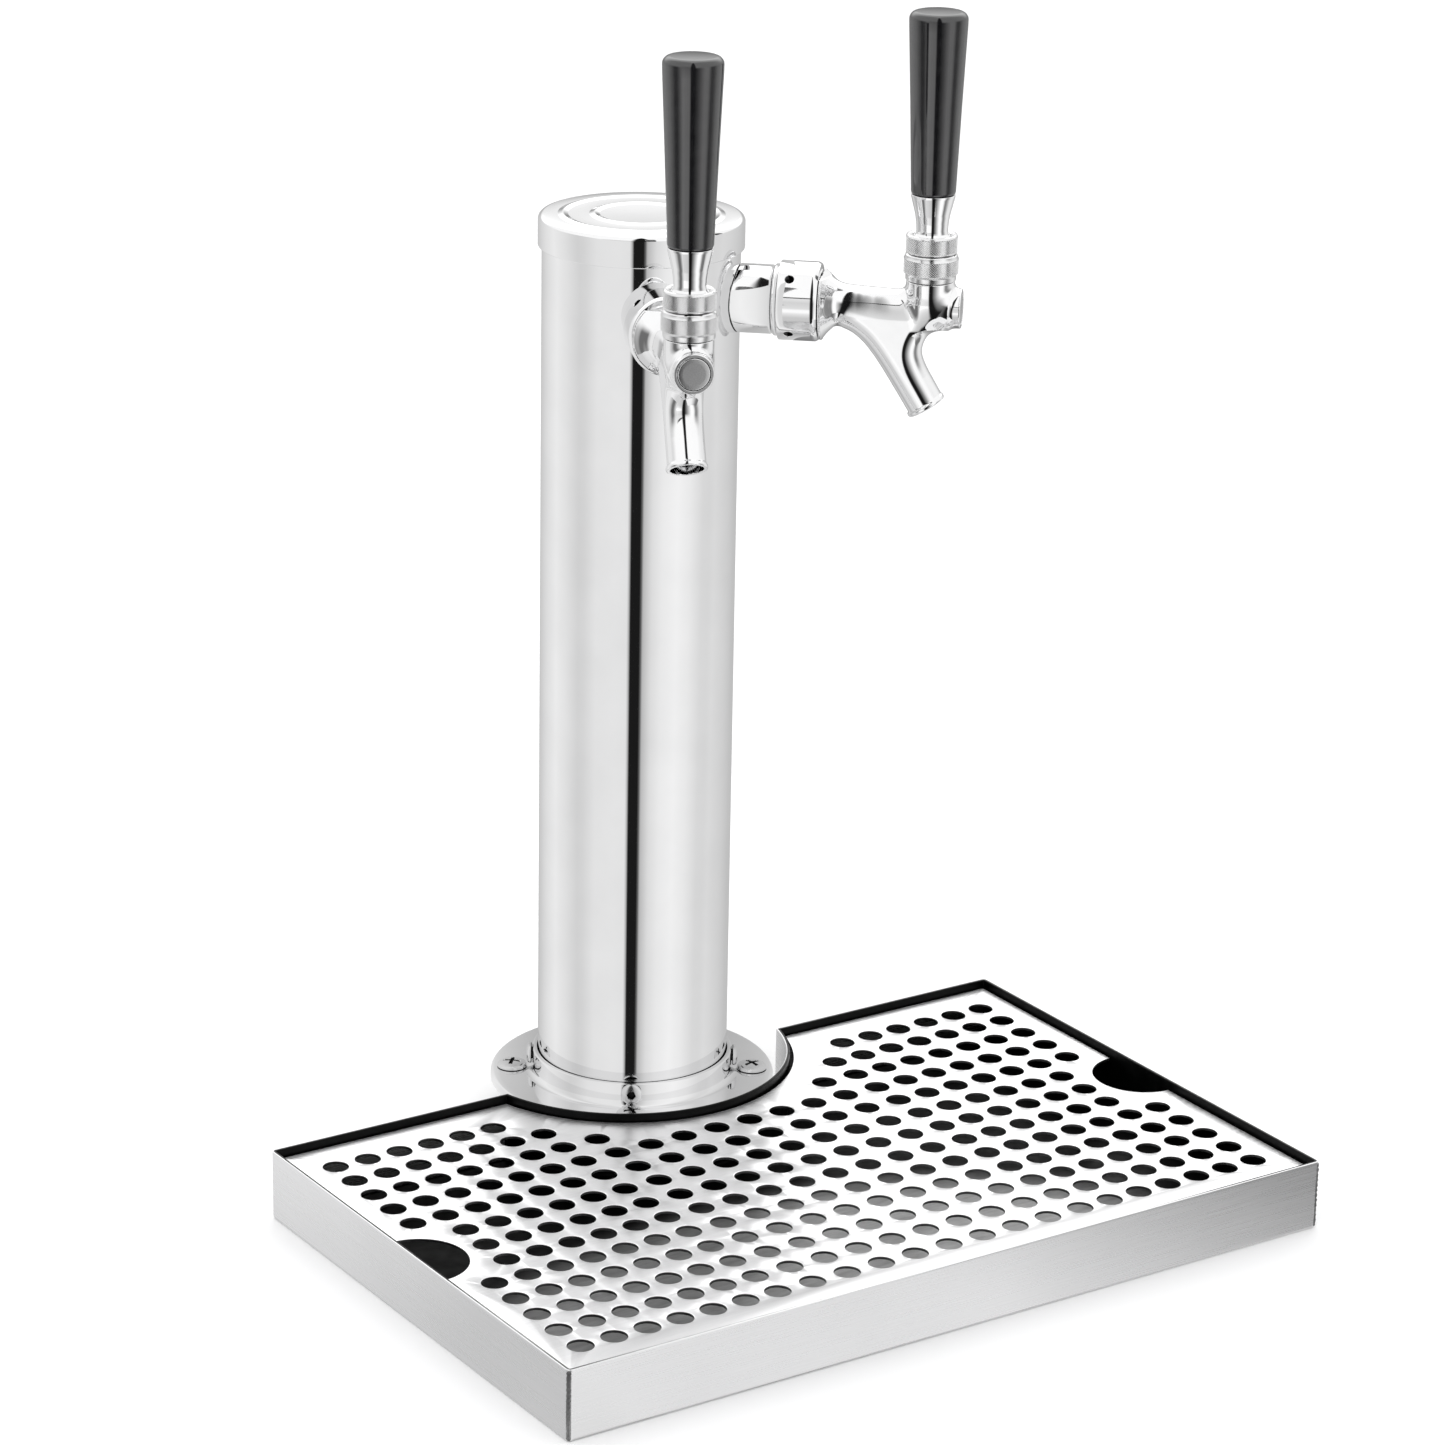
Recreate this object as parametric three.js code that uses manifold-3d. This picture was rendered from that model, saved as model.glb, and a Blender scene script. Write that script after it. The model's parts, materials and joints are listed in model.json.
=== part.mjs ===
// Beer tap tower: a straight round column with two taps, standing in the cut-out of a drip tray.
// Millimetres, +Z up. The tray's long front side faces -Y and +X is to the right.
// The origin is under the middle of the whole object, on the surface that it stands on.
import * as THREE from "three";
import { mergeVertices } from "three/addons/utils/BufferGeometryUtils.js";
import Module from "manifold-3d";

const wasm = await Module();
wasm.setup();

// ---- Driving dimensions ----
const GAP = 0.3; // between pieces that touch

// Column and base
const COLUMN_RADIUS = 38.1; // a 3 inch tube
const COLUMN_WALL = 1.5;
const FLANGE_RADIUS = 57.15; // a 4.5 inch flange
const FLANGE_LIFT = 18.5; // the turned-down edge of the flange above the surface
const FLANGE_HEIGHT = 3.3; // from that edge to the flange's flat top
const FLANGE_SHEET = 1.6;
const FLANGE_EDGE_ROUND = 2.4;
const COLLAR_HEIGHT = 13; // above the flange's lower edge
const COLLAR_WALL = 1.8;
const COLLAR_FILLET = 2.8;
const BASE_BORE_RADIUS = 33; // way through for the beer lines
const SPACER_RADIUS = 52.5;
const CAP_BOTTOM = 343.3; // above the flange's lower edge
const CAP_HEIGHT = 12.7;
const CAP_SHEET = 1.2;
const CAP_RING_RADII = [18, 30];
const CAP_RING_HEIGHT = 0.5;
const CAP_RING_SIDE = 1.6; // half of a ring's width
const CAP_EDGE_ROUND = 2.2;
const TOWER_TURN = 12.5; // degrees, the column's turn on its base, towards +X

// Screws of the base
const SCREW_ANGLES = [-45, 45, 135, 225]; // degrees from the tower's own front
const FLANGE_SCREW_CIRCLE = 48.5;
const FLANGE_SCREW_HEAD = { radius: 6, height: 2.6 };
const FLANGE_SCREW_SHANK_RADIUS = 2.4;
const FLANGE_SCREW_BOTTOM = 2; // of its hole in the spacer, above the surface
const SET_SCREW_HEIGHT = 9.1; // above the flange's lower edge
const SET_SCREW_HEAD = { radius: 4.2, height: 2.3 };
const SET_SCREW_SHANK_RADIUS = 2.4;

// Taps, each in its own frame: x away from the column's axis, y up from the tap's centreline
const TAP_HEIGHT = 324.7; // above the flange's lower edge
const TAP_ANGLE = 36; // degrees each side of the tower's own front
const SHANK_RADIUS = 11.1; // a 7/8 inch shank
const SHANK_BORE = 5;
const ADAPTER_RADIUS = 13.2;
const ADAPTER_FRONT = 51.4;
const SHANK_COLLAR_RADIUS = 13.8;
const NUT_RADIUS = 15.2;
const NUT_BACK = 53.8;
const NUT_FRONT = 69.3;
const SPANNER_HOLE_RADIUS = 1.75;
const NECK_BACK = 69.6; // where the body's flare starts
const LEVER_X = 111;
const NOSE_FRONT = 123.2;
const PASSAGE_RADIUS = 4.6;
const PIVOT_Y = 11.3; // centre of the lever's ball
const LEVER_TILT = 30; // degrees, forward
const BALL_RADIUS = 5.2;
const STEM_RADIUS = 2.5;
const FINGER_RADIUS = 1.6;
const DOME_RADIUS = 13.6; // the bonnet's dome, about the ball's centre
const GRIP_BOTTOM = 44.2;
const GRIP_TOP = 113;
const SPOUT_RADIUS = 7.1;
const SPOUT_END = [111, -39];
const SPOUT_BEND = [100.4, -22]; // where the straight end of the spout begins
const SPOUT_START = [82, -1];
const SPOUT_LIP = 0.7;
const MOUTH_RADIUS = 6.3;

// Drip tray and grate
const TRAY_LENGTH = 340;
const TRAY_DEPTH = 217.8;
const TRAY_HEIGHT = 28;
const TRAY_BACK = -9.3; // the back wall's outer face, from the column's axis
const TRAY_SHEET = 1.5;
const CUTOUT_RADIUS = 66;
const CUTOUT_CENTRE = 6.5; // behind the column's axis
const GRATE_DROP = 2.8; // the grate's top below the tray's rim
const GRATE_SHEET = 1.2;
const GRATE_CLEARANCE = 1.5;
const NOTCH_RADIUS = 19;
const HOLE_RADIUS = 5;
const HOLE_SIDES = 4;
const HOLE_ROWS = 13;
const FIRST_ROW = -29.8;
const ROW_PITCH = 14.82;
const FIRST_COLUMN = 7.7;
const MIDDLE_PITCH = 15.3; // between the middle ten columns
const SIDE_PITCH = 14;
const SIDE_COLUMNS_FROM = 4;
const COLUMNS_PER_SIDE = 11;
const CUTOUT_MARGIN = 13.5; // from the cut-out's wall to the nearest hole's centre
const NOTCH_MARGIN = 9; // from a notch's edge to the nearest hole's centre

const radians = THREE.MathUtils.degToRad;

// ---- Materials ----
const material = (color, roughness, metalness) =>
  new THREE.MeshStandardMaterial({ color, roughness, metalness });
const chrome = material(0xd9dbdd, 0.08, 1);
const knurled = material(0xc4c6c8, 0.35, 1);
const steel = material(0xb9bbbd, 0.3, 1);
const innerSteel = material(0x9c9ea1, 0.4, 1);
const blackPlastic = material(0x101012, 0.15, 0);
const rubber = material(0x161616, 0.8, 0);

// ---- Solids ----
function solid(geometry) {
  const bare = new THREE.BufferGeometry();
  bare.setAttribute("position", geometry.getAttribute("position"));
  bare.setIndex(geometry.index);
  const merged = mergeVertices(bare, 1e-4);
  const mesh = new wasm.Mesh({
    numProp: 3,
    vertProperties: merged.getAttribute("position").array,
    triVerts: new Uint32Array(merged.index.array),
  });
  return new wasm.Manifold(mesh);
}

function geometryOf(body) {
  const mesh = body.getMesh();
  const geometry = new THREE.BufferGeometry();
  geometry.setAttribute("position", new THREE.BufferAttribute(mesh.vertProperties, mesh.numProp));
  geometry.setIndex(new THREE.BufferAttribute(mesh.triVerts, 1));
  const faceted = geometry.toNonIndexed();
  faceted.computeVertexNormals();
  return faceted;
}

const named = (name, body, look) => {
  const mesh = new THREE.Mesh(geometryOf(body), look);
  mesh.name = name;
  return mesh;
};

// A solid of revolution about Y. The profile's points are [radius, height], counter-clockwise with the
// radius to the right; a profile that doesn't start and end on the axis is closed here.
function latheY(profile, segments = 18) {
  const onAxis = profile[0][0] === 0 && profile[profile.length - 1][0] === 0;
  const loop = onAxis ? profile : [...profile, profile[0]];
  return new THREE.LatheGeometry(
    loop.map(([radius, height]) => new THREE.Vector2(radius, height)),
    segments,
  );
}
const latheX = (profile, segments) => latheY(profile, segments).rotateZ(-Math.PI / 2);
const latheZ = (profile, segments) => latheY(profile, segments).rotateX(Math.PI / 2);

// A cylinder along Y from one height to another.
const rodY = (radius, from, to, segments = 18) =>
  latheY([[0, from], [radius, from], [radius, to], [0, to]], segments);
const rodX = (radius, from, to, segments) => rodY(radius, from, to, segments).rotateZ(-Math.PI / 2);
const rodZ = (radius, from, to, segments) => rodY(radius, from, to, segments).rotateX(Math.PI / 2);

// Points of an arc about [x, y], from one angle to the other, in degrees.
function arc(x, y, radius, from, to, steps) {
  return Array.from({ length: steps + 1 }, (_, i) => {
    const angle = radians(from + ((to - from) * i) / steps);
    return [x + radius * Math.cos(angle), y + radius * Math.sin(angle)];
  });
}

// A flat outline in XY, thickened along Z.
function slab(points, from, to) {
  const shape = new THREE.Shape(points.map(([x, y]) => new THREE.Vector2(x, y)));
  const geometry = new THREE.ExtrudeGeometry(shape, { depth: to - from, bevelEnabled: false });
  return geometry.translate(0, 0, from);
}

// A round bar of constant radius along a flat path in XY.
function bar(path, radius, segments, steps) {
  const circle = new THREE.Shape();
  circle.absarc(0, 0, radius, 0, 2 * Math.PI);
  return new THREE.ExtrudeGeometry(circle, {
    extrudePath: path,
    steps,
    curveSegments: segments,
    bevelEnabled: false,
  });
}

const flat = ([x, y]) => new THREE.Vector3(x, y, 0);

// ---- Base and column, in the tower's frame: Z up from the surface ----
const FLANGE_TOP = FLANGE_LIFT + FLANGE_HEIGHT;
const FLANGE_UNDERSIDE = FLANGE_TOP - FLANGE_SHEET;
const COLLAR_INSIDE = COLUMN_RADIUS + GAP;
const COLLAR_OUTSIDE = COLLAR_INSIDE + COLLAR_WALL;
const TUBE_INSIDE = COLUMN_RADIUS - COLUMN_WALL;
const CAP_BASE = FLANGE_LIFT + CAP_BOTTOM;
const CAP_TOP = CAP_BASE + CAP_HEIGHT;

// Places a shape that was made around the front of the column at an angle round it.
const roundColumn = (geometry, degrees) => geometry.rotateZ(radians(degrees));

function flangeScrewHoles(from, to) {
  return SCREW_ANGLES.map((angle) =>
    solid(
      roundColumn(
        rodZ(FLANGE_SCREW_SHANK_RADIUS + GAP, from, to, 10).translate(0, -FLANGE_SCREW_CIRCLE, 0),
        angle,
      ),
    ),
  );
}

const cut = (body, tools) => tools.reduce((rest, tool) => rest.subtract(tool), body);

function baseSpacer() {
  const top = FLANGE_UNDERSIDE - GAP;
  const profile = [
    [BASE_BORE_RADIUS, 0],
    [SPACER_RADIUS, 0],
    [SPACER_RADIUS, top],
    [BASE_BORE_RADIUS, top],
  ];
  const block = solid(latheZ(profile, 32));
  return cut(block, flangeScrewHoles(FLANGE_SCREW_BOTTOM, top + 1));
}

function baseFlange() {
  const edge = FLANGE_RADIUS - FLANGE_EDGE_ROUND;
  const profile = [
    [BASE_BORE_RADIUS, FLANGE_UNDERSIDE],
    [FLANGE_RADIUS - FLANGE_SHEET, FLANGE_UNDERSIDE],
    [FLANGE_RADIUS - FLANGE_SHEET, FLANGE_LIFT],
    [FLANGE_RADIUS, FLANGE_LIFT],
    ...arc(edge, FLANGE_TOP - FLANGE_EDGE_ROUND, FLANGE_EDGE_ROUND, 0, 90, 3),
    ...arc(COLLAR_OUTSIDE + COLLAR_FILLET, FLANGE_TOP + COLLAR_FILLET, COLLAR_FILLET, 270, 180, 2),
    [COLLAR_OUTSIDE, FLANGE_LIFT + COLLAR_HEIGHT],
    [COLLAR_INSIDE, FLANGE_LIFT + COLLAR_HEIGHT],
    [COLLAR_INSIDE, FLANGE_TOP],
    [BASE_BORE_RADIUS, FLANGE_TOP],
  ];
  const setScrewHoles = SCREW_ANGLES.map((angle) =>
    solid(
      roundColumn(
        rodY(SET_SCREW_SHANK_RADIUS + GAP, -COLLAR_OUTSIDE - 1, -COLLAR_INSIDE + 1, 10).translate(
          0, 0, FLANGE_LIFT + SET_SCREW_HEIGHT,
        ),
        angle,
      ),
    ),
  );
  const holes = [...flangeScrewHoles(FLANGE_LIFT, FLANGE_TOP + 1), ...setScrewHoles];
  return cut(solid(latheZ(profile, 36)), holes);
}

function columnTube() {
  const from = FLANGE_TOP + GAP;
  const to = CAP_TOP - CAP_SHEET - GAP;
  const profile = [
    [TUBE_INSIDE, from],
    [COLUMN_RADIUS, from],
    [COLUMN_RADIUS, to],
    [TUBE_INSIDE, to],
  ];
  const tube = solid(latheZ(profile, 36));
  const shankHoles = [-TAP_ANGLE, TAP_ANGLE].map((angle) =>
    solid(
      roundColumn(
        rodY(SHANK_RADIUS + GAP, -COLUMN_RADIUS - 5, -TUBE_INSIDE + 12).translate(
          0, 0, FLANGE_LIFT + TAP_HEIGHT,
        ),
        angle,
      ),
    ),
  );
  return cut(tube, shankHoles);
}

function topCap() {
  const radius = COLUMN_RADIUS + GAP + CAP_SHEET;
  const flatTop = CAP_TOP - CAP_RING_HEIGHT;
  const ridges = [...CAP_RING_RADII].reverse().flatMap((ringRadius) => [
    [ringRadius + CAP_RING_SIDE, flatTop],
    [ringRadius, CAP_TOP],
    [ringRadius - CAP_RING_SIDE, flatTop],
  ]);
  return solid(
    latheZ(
      [
        [0, CAP_TOP - CAP_SHEET],
        [COLUMN_RADIUS + GAP, CAP_TOP - CAP_SHEET],
        [COLUMN_RADIUS + GAP, CAP_BASE],
        [radius, CAP_BASE],
        ...arc(radius - CAP_EDGE_ROUND, flatTop - CAP_EDGE_ROUND, CAP_EDGE_ROUND, 0, 90, 3),
        ...ridges,
        [0, flatTop],
      ],
      36,
    ),
  );
}

function flangeScrew(angle) {
  const { radius, height } = FLANGE_SCREW_HEAD;
  const seat = FLANGE_TOP + GAP;
  const screw = solid(
    latheZ(
      [
        [0, FLANGE_SCREW_BOTTOM + GAP],
        [FLANGE_SCREW_SHANK_RADIUS, FLANGE_SCREW_BOTTOM + GAP],
        [FLANGE_SCREW_SHANK_RADIUS, seat],
        [radius, seat],
        [radius, seat + 0.8],
        [radius * 0.8, seat + height * 0.75],
        [radius * 0.45, seat + height],
        [0, seat + height],
      ],
      12,
    ),
  );
  const slots = [0, Math.PI / 2].map((turn) =>
    solid(new THREE.BoxGeometry(6.4, 1.3, 3).rotateZ(turn).translate(0, 0, seat + height)),
  );
  const driven = cut(screw, slots);
  return solid(roundColumn(geometryOf(driven).translate(0, -FLANGE_SCREW_CIRCLE, 0), angle));
}

function setScrew(angle) {
  const { radius, height } = SET_SCREW_HEAD;
  const seat = COLLAR_OUTSIDE + 0.7;
  const screw = solid(
    latheY(
      [
        [0, COLUMN_RADIUS + GAP],
        [SET_SCREW_SHANK_RADIUS, COLUMN_RADIUS + GAP],
        [SET_SCREW_SHANK_RADIUS, seat],
        [radius, seat],
        [radius, seat + 0.7],
        [radius * 0.75, seat + height * 0.85],
        [radius * 0.4, seat + height],
        [0, seat + height],
      ],
      12,
    ),
  );
  const socket = solid(rodY(1.5, seat + 0.6, seat + height + 1, 6));
  const outward = geometryOf(screw.subtract(socket)).rotateX(Math.PI);
  const placed = outward.translate(0, 0, FLANGE_LIFT + SET_SCREW_HEIGHT);
  return solid(roundColumn(placed, angle));
}

// ---- One tap, in the tap's frame: x away from the column, y up, z sideways ----
const columnCutter = (radius) => solid(rodY(radius, -40, 40, 36));

function ring(inner, outer, from, to, segments) {
  return latheX([[inner, from], [outer, from], [outer, to], [inner, to]], segments);
}

function shankAdapter() {
  const sleeve = solid(ring(SHANK_RADIUS + GAP, ADAPTER_RADIUS, 30, ADAPTER_FRONT));
  return sleeve.subtract(columnCutter(COLUMN_RADIUS + GAP));
}

const SHANK_BACK = 22;
const SHANK_FRONT = 60;
const shank = () =>
  solid(
    latheX([
      [SHANK_BORE, SHANK_BACK],
      [SHANK_RADIUS, SHANK_BACK],
      [SHANK_RADIUS, ADAPTER_FRONT + GAP],
      [SHANK_COLLAR_RADIUS, ADAPTER_FRONT + GAP],
      [SHANK_COLLAR_RADIUS, NUT_BACK - GAP],
      [SHANK_RADIUS, NUT_BACK - GAP],
      [SHANK_RADIUS, SHANK_FRONT],
      [SHANK_BORE, SHANK_FRONT],
    ]),
  );

const LOCK_NUT = { back: 26.5, front: 32.5, radius: 15.6 };
function shankNut() {
  const hexagon = solid(rodX(LOCK_NUT.radius, LOCK_NUT.back, LOCK_NUT.front, 6));
  return hexagon.subtract(solid(rodX(SHANK_RADIUS + GAP, LOCK_NUT.back - 1, LOCK_NUT.front + 1)));
}

// A washer whose inner face is curved to the inside of the column's wall.
const WASHER_RADIUS = 14;
function shankWasher() {
  const block = solid(ring(SHANK_RADIUS + GAP, WASHER_RADIUS, LOCK_NUT.front + GAP, 40));
  return block.intersect(columnCutter(TUBE_INSIDE - GAP));
}

// The elbow behind the shank that the beer line is pushed onto.
const ELBOW = { x: 12, bend: 6, back: 25, bottom: -26, radius: 3.6, bore: 2.2 };
const BARB_HEIGHTS = [-15, -21];
const BARB = { inside: 3, radius: 4.2, length: 3.5 };

// Its centreline, made longer at both ends by the given length.
function elbowPath(beyond) {
  const { x, bend, back, bottom } = ELBOW;
  const path = new THREE.CurvePath();
  path.add(new THREE.LineCurve3(flat([back + beyond, 0]), flat([x + bend, 0])));
  path.add(new THREE.QuadraticBezierCurve3(flat([x + bend, 0]), flat([x, 0]), flat([x, -bend])));
  path.add(new THREE.LineCurve3(flat([x, -bend]), flat([x, bottom - beyond])));
  return path;
}

function tailElbow() {
  const barbs = BARB_HEIGHTS.map((y) => {
    const profile = [
      [BARB.inside, y - BARB.length],
      [BARB.radius, y],
      [BARB.inside, y],
    ];
    return solid(latheY(profile, 8).translate(ELBOW.x, 0, 0));
  });
  const pipe = solid(bar(elbowPath(0), ELBOW.radius, 4, 9));
  const outside = barbs.reduce((all, barb) => all.add(barb), pipe);
  return outside.subtract(solid(bar(elbowPath(2), ELBOW.bore, 3, 9)));
}

const NUT_LIP = { radius: 10.9, length: 3 }; // at the front, behind the faucet's flange
const NUT_BORE_RADIUS = SHANK_RADIUS + 0.7;
const SPANNER_HOLES = { angles: [45, 135, 225, 315], x: 58.4 };
function couplingNut() {
  const lipBack = NUT_FRONT - NUT_LIP.length;
  const nut = solid(
    latheX(
      [
        [NUT_BORE_RADIUS, NUT_BACK],
        [NUT_RADIUS - 0.5, NUT_BACK],
        [NUT_RADIUS, NUT_BACK + 0.5],
        [NUT_RADIUS, NUT_FRONT - 1.3],
        [NUT_RADIUS - 0.7, NUT_FRONT],
        [NUT_LIP.radius, NUT_FRONT],
        [NUT_LIP.radius, lipBack],
        [NUT_BORE_RADIUS, lipBack],
      ],
      24,
    ),
  );
  const hole = rodY(SPANNER_HOLE_RADIUS, SHANK_RADIUS - 1, NUT_RADIUS + 1, 8);
  const holes = SPANNER_HOLES.angles.map((angle) =>
    solid(hole.clone().rotateX(radians(angle)).translate(SPANNER_HOLES.x, 0, 0)),
  );
  return cut(nut, holes);
}

// The way the beer takes from the valve to the mouth.
function spoutPath(beyond) {
  const [endX, endY] = SPOUT_END;
  const [bendX, bendY] = SPOUT_BEND;
  const length = Math.hypot(endX - bendX, endY - bendY);
  const along = [(endX - bendX) / length, (endY - bendY) / length];
  const control = [bendX - 16 * along[0], bendY - 16 * along[1]];
  const last = [endX + beyond * along[0], endY + beyond * along[1]];
  const path = new THREE.CurvePath();
  path.add(new THREE.QuadraticBezierCurve3(flat(SPOUT_START), flat(control), flat(SPOUT_BEND)));
  path.add(new THREE.LineCurve3(flat(SPOUT_BEND), flat(last)));
  return { path, along, turn: Math.atan2(along[1], along[0]) };
}

// The side outline of the web between the barrel, the nose and the spout.
const WEB = [
  [84, -3],
  [84, -6],
  [92, -12],
  [99, -22],
  [106, -33],
  [112.5, -27.5],
  ...arc(117.3, -16.4, 8.7, 207, 105, 4),
  [116.5, -3],
];
const WEB_WIDTH = 11;
const FAUCET_TAIL_RADIUS = SHANK_RADIUS + 0.3; // in the nut, against the shank
const FAUCET_NECK_RADIUS = 10.5; // through the nut's lip
// The barrel from its flange to the neck, then along to the nose.
const BARREL = [
  [14.5, NECK_BACK],
  [14.3, 70.4],
  [11.6, 72.2],
  [8.9, 75.7],
  [7.7, 79],
  [6.6, 92],
  [6.6, 100],
  [7.6, 118],
  [7.6, NOSE_FRONT - 0.6],
  [7, NOSE_FRONT],
];
const HEAD_TOP = 10.6; // where the bonnet stands
// The upright head under the bonnet.
const HEAD = [
  [0, -6.5],
  [5.5, -6.5],
  [8.4, -3.5],
  [9.2, 0],
  [9.2, 9.2],
  [9, HEAD_TOP],
  [0, HEAD_TOP],
];

function faucetOutside() {
  const shoulder = NUT_FRONT - NUT_LIP.length - GAP;
  const turned = solid(
    latheX([
      [0, SHANK_FRONT + GAP],
      [FAUCET_TAIL_RADIUS, SHANK_FRONT + GAP],
      [FAUCET_TAIL_RADIUS, shoulder],
      [FAUCET_NECK_RADIUS, shoulder],
      [FAUCET_NECK_RADIUS, NECK_BACK],
      ...BARREL,
      [0, NOSE_FRONT],
    ]),
  );
  const head = solid(latheY(HEAD).translate(LEVER_X, 0, 0));
  const { path, turn } = spoutPath(0);
  const [endX, endY] = SPOUT_END;
  const spout = solid(bar(path, SPOUT_RADIUS, 7, 8));
  const lipProfile = [
    [0, -2],
    [SPOUT_RADIUS - 0.2, -2],
    [SPOUT_RADIUS + SPOUT_LIP, -0.8],
    [SPOUT_RADIUS + SPOUT_LIP, 0],
    [0, 0],
  ];
  const lip = solid(latheX(lipProfile).rotateZ(turn).translate(endX, endY, 0));
  const web = solid(slab([...WEB].reverse(), -WEB_WIDTH / 2, WEB_WIDTH / 2));
  return turned.add(head).add(spout).add(lip).add(web);
}

// The room that a bar of this radius sweeps as the lever tilts, above or below the ball's centre.
function leverSweep(clearance, reach, below) {
  const side = below ? -1 : 1;
  const tilt = radians(LEVER_TILT);
  const [dx, dy] = [side * Math.sin(tilt), side * Math.cos(tilt)];
  const edge = LEVER_X - side * clearance;
  const start = [LEVER_X + clearance * dy, PIVOT_Y - clearance * dx];
  const outline = [
    start,
    [start[0] + reach * dx, start[1] + reach * dy],
    [edge, PIVOT_Y + side * reach],
    [edge, PIVOT_Y],
  ];
  return solid(slab(outline, -clearance, clearance));
}

const CHAMBER_RADIUS = 8; // behind the valve seat
const SEAT_X = 74.5;
const CAP_SEAT_X = 119.8;
const CAP_SEAT_RADIUS = 6.2;
const WELL_RADIUS = 6.3; // round the lever's lower end
const WELL_BOTTOM = 5.2;
const FINGER_REACH = 13.6;
const SLOT_REACH = 18;
function faucetBody() {
  const { path, turn } = spoutPath(2);
  const [endX, endY] = SPOUT_END;
  const hollow = [
    solid(rodX(CHAMBER_RADIUS, SHANK_FRONT - 1, SEAT_X, 14)),
    solid(rodX(PASSAGE_RADIUS, SEAT_X - 1, CAP_SEAT_X + 1, 14)),
    solid(rodX(CAP_SEAT_RADIUS, CAP_SEAT_X, NOSE_FRONT + 1)),
    solid(bar(path, PASSAGE_RADIUS, 4, 7)),
    solid(rodX(MOUTH_RADIUS, -9, 2, 14).rotateZ(turn).translate(endX, endY, 0)),
    solid(rodY(WELL_RADIUS, WELL_BOTTOM, HEAD_TOP + 1.4).translate(LEVER_X, 0, 0)),
    leverSweep(FINGER_RADIUS + 0.5, FINGER_REACH, true),
  ];
  return cut(faucetOutside(), hollow);
}

function shaftCap() {
  const radius = CAP_SEAT_RADIUS - GAP;
  const front = NOSE_FRONT - 0.1;
  return solid(
    latheX([
      [0, CAP_SEAT_X + GAP],
      [radius, CAP_SEAT_X + GAP],
      [radius, front - 0.4],
      [radius - 0.4, front],
      [0, front],
    ]),
  );
}

// The valve's shaft: a collar behind the seal, a thin stem through it, and a guide that the lever moves.
const PLUNGER = {
  back: 66.5,
  collarFront: 70.5,
  collarRadius: 3,
  stemRadius: 2,
  guideBack: 98,
  guideRadius: 4.2,
  front: 118.6,
  slotLength: 7.8,
};
function plunger() {
  const profile = [
    [0, PLUNGER.back],
    [PLUNGER.collarRadius, PLUNGER.back],
    [PLUNGER.collarRadius, PLUNGER.collarFront],
    [PLUNGER.stemRadius, PLUNGER.collarFront],
    [PLUNGER.stemRadius, PLUNGER.guideBack],
    [PLUNGER.guideRadius, PLUNGER.guideBack],
    [PLUNGER.guideRadius, PLUNGER.front],
    [0, PLUNGER.front],
  ];
  const slot = new THREE.BoxGeometry(PLUNGER.slotLength, 12, 2 * FINGER_RADIUS + 0.8);
  return solid(latheX(profile, 14)).subtract(solid(slot.translate(LEVER_X, 0, 0)));
}

const SEAL_RADIUS = 6.3;
const plungerSeal = () =>
  solid(ring(PLUNGER.stemRadius + GAP, SEAL_RADIUS, PLUNGER.collarFront + GAP, SEAT_X - GAP, 14));

const BONNET = { footRadius: 9.6, footHeight: 2.3, radius: 10.45, height: 7.8, topRadius: 9.9 };
function bonnet() {
  const bottom = HEAD_TOP + GAP;
  const top = PIVOT_Y + Math.sqrt(DOME_RADIUS ** 2 - BONNET.topRadius ** 2);
  const domeStart = THREE.MathUtils.radToDeg(Math.asin((top - PIVOT_Y) / DOME_RADIUS));
  const outside = solid(
    latheY([
      [0, bottom],
      [BONNET.footRadius, bottom],
      [BONNET.footRadius, bottom + BONNET.footHeight],
      [BONNET.radius, bottom + BONNET.footHeight + 0.6],
      [BONNET.radius, bottom + BONNET.height],
      [BONNET.topRadius, top],
      ...arc(0, PIVOT_Y, DOME_RADIUS, domeStart, 90, 4).slice(1, -1),
      [0, PIVOT_Y + DOME_RADIUS],
    ]).translate(LEVER_X, 0, 0),
  );
  const seat = solid(
    latheY([
      [0, bottom - 1],
      [WELL_RADIUS, bottom - 1],
      [WELL_RADIUS, PIVOT_Y + 0.6],
      ...arc(0, PIVOT_Y, BALL_RADIUS + GAP, 8, 90, 4).slice(0, -1),
      [0, PIVOT_Y + BALL_RADIUS + GAP],
    ]).translate(LEVER_X, 0, 0),
  );
  return outside.subtract(seat).subtract(leverSweep(STEM_RADIUS + 0.4, SLOT_REACH, false));
}

// The soft ring that the lever's ball sits on.
const BUSHING = { from: 7, to: 9, radius: 6, innerBottom: 4.75, innerTop: 5.1 };
function leverBushing() {
  const profile = [
    [BUSHING.innerBottom, BUSHING.from],
    [BUSHING.radius, BUSHING.from],
    [BUSHING.radius, BUSHING.to],
    [BUSHING.innerTop, BUSHING.to],
  ];
  return solid(latheY(profile, 14).translate(LEVER_X, 0, 0));
}

const STEM_TOP = GRIP_BOTTOM + 8; // inside the grip
const FINGER_LENGTH = 12.7; // below the ball's centre
function lever() {
  const profile = [
    [0, PIVOT_Y - BALL_RADIUS],
    ...arc(0, PIVOT_Y, BALL_RADIUS, -70, 70, 6),
    [0, PIVOT_Y + BALL_RADIUS],
  ];
  const ball = solid(latheY(profile, 16));
  const stem = solid(rodY(STEM_RADIUS, PIVOT_Y, STEM_TOP, 12));
  const finger = solid(rodY(FINGER_RADIUS, PIVOT_Y - FINGER_LENGTH, PIVOT_Y, 10));
  return solid(geometryOf(ball.add(stem).add(finger)).translate(LEVER_X, 0, 0));
}

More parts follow.
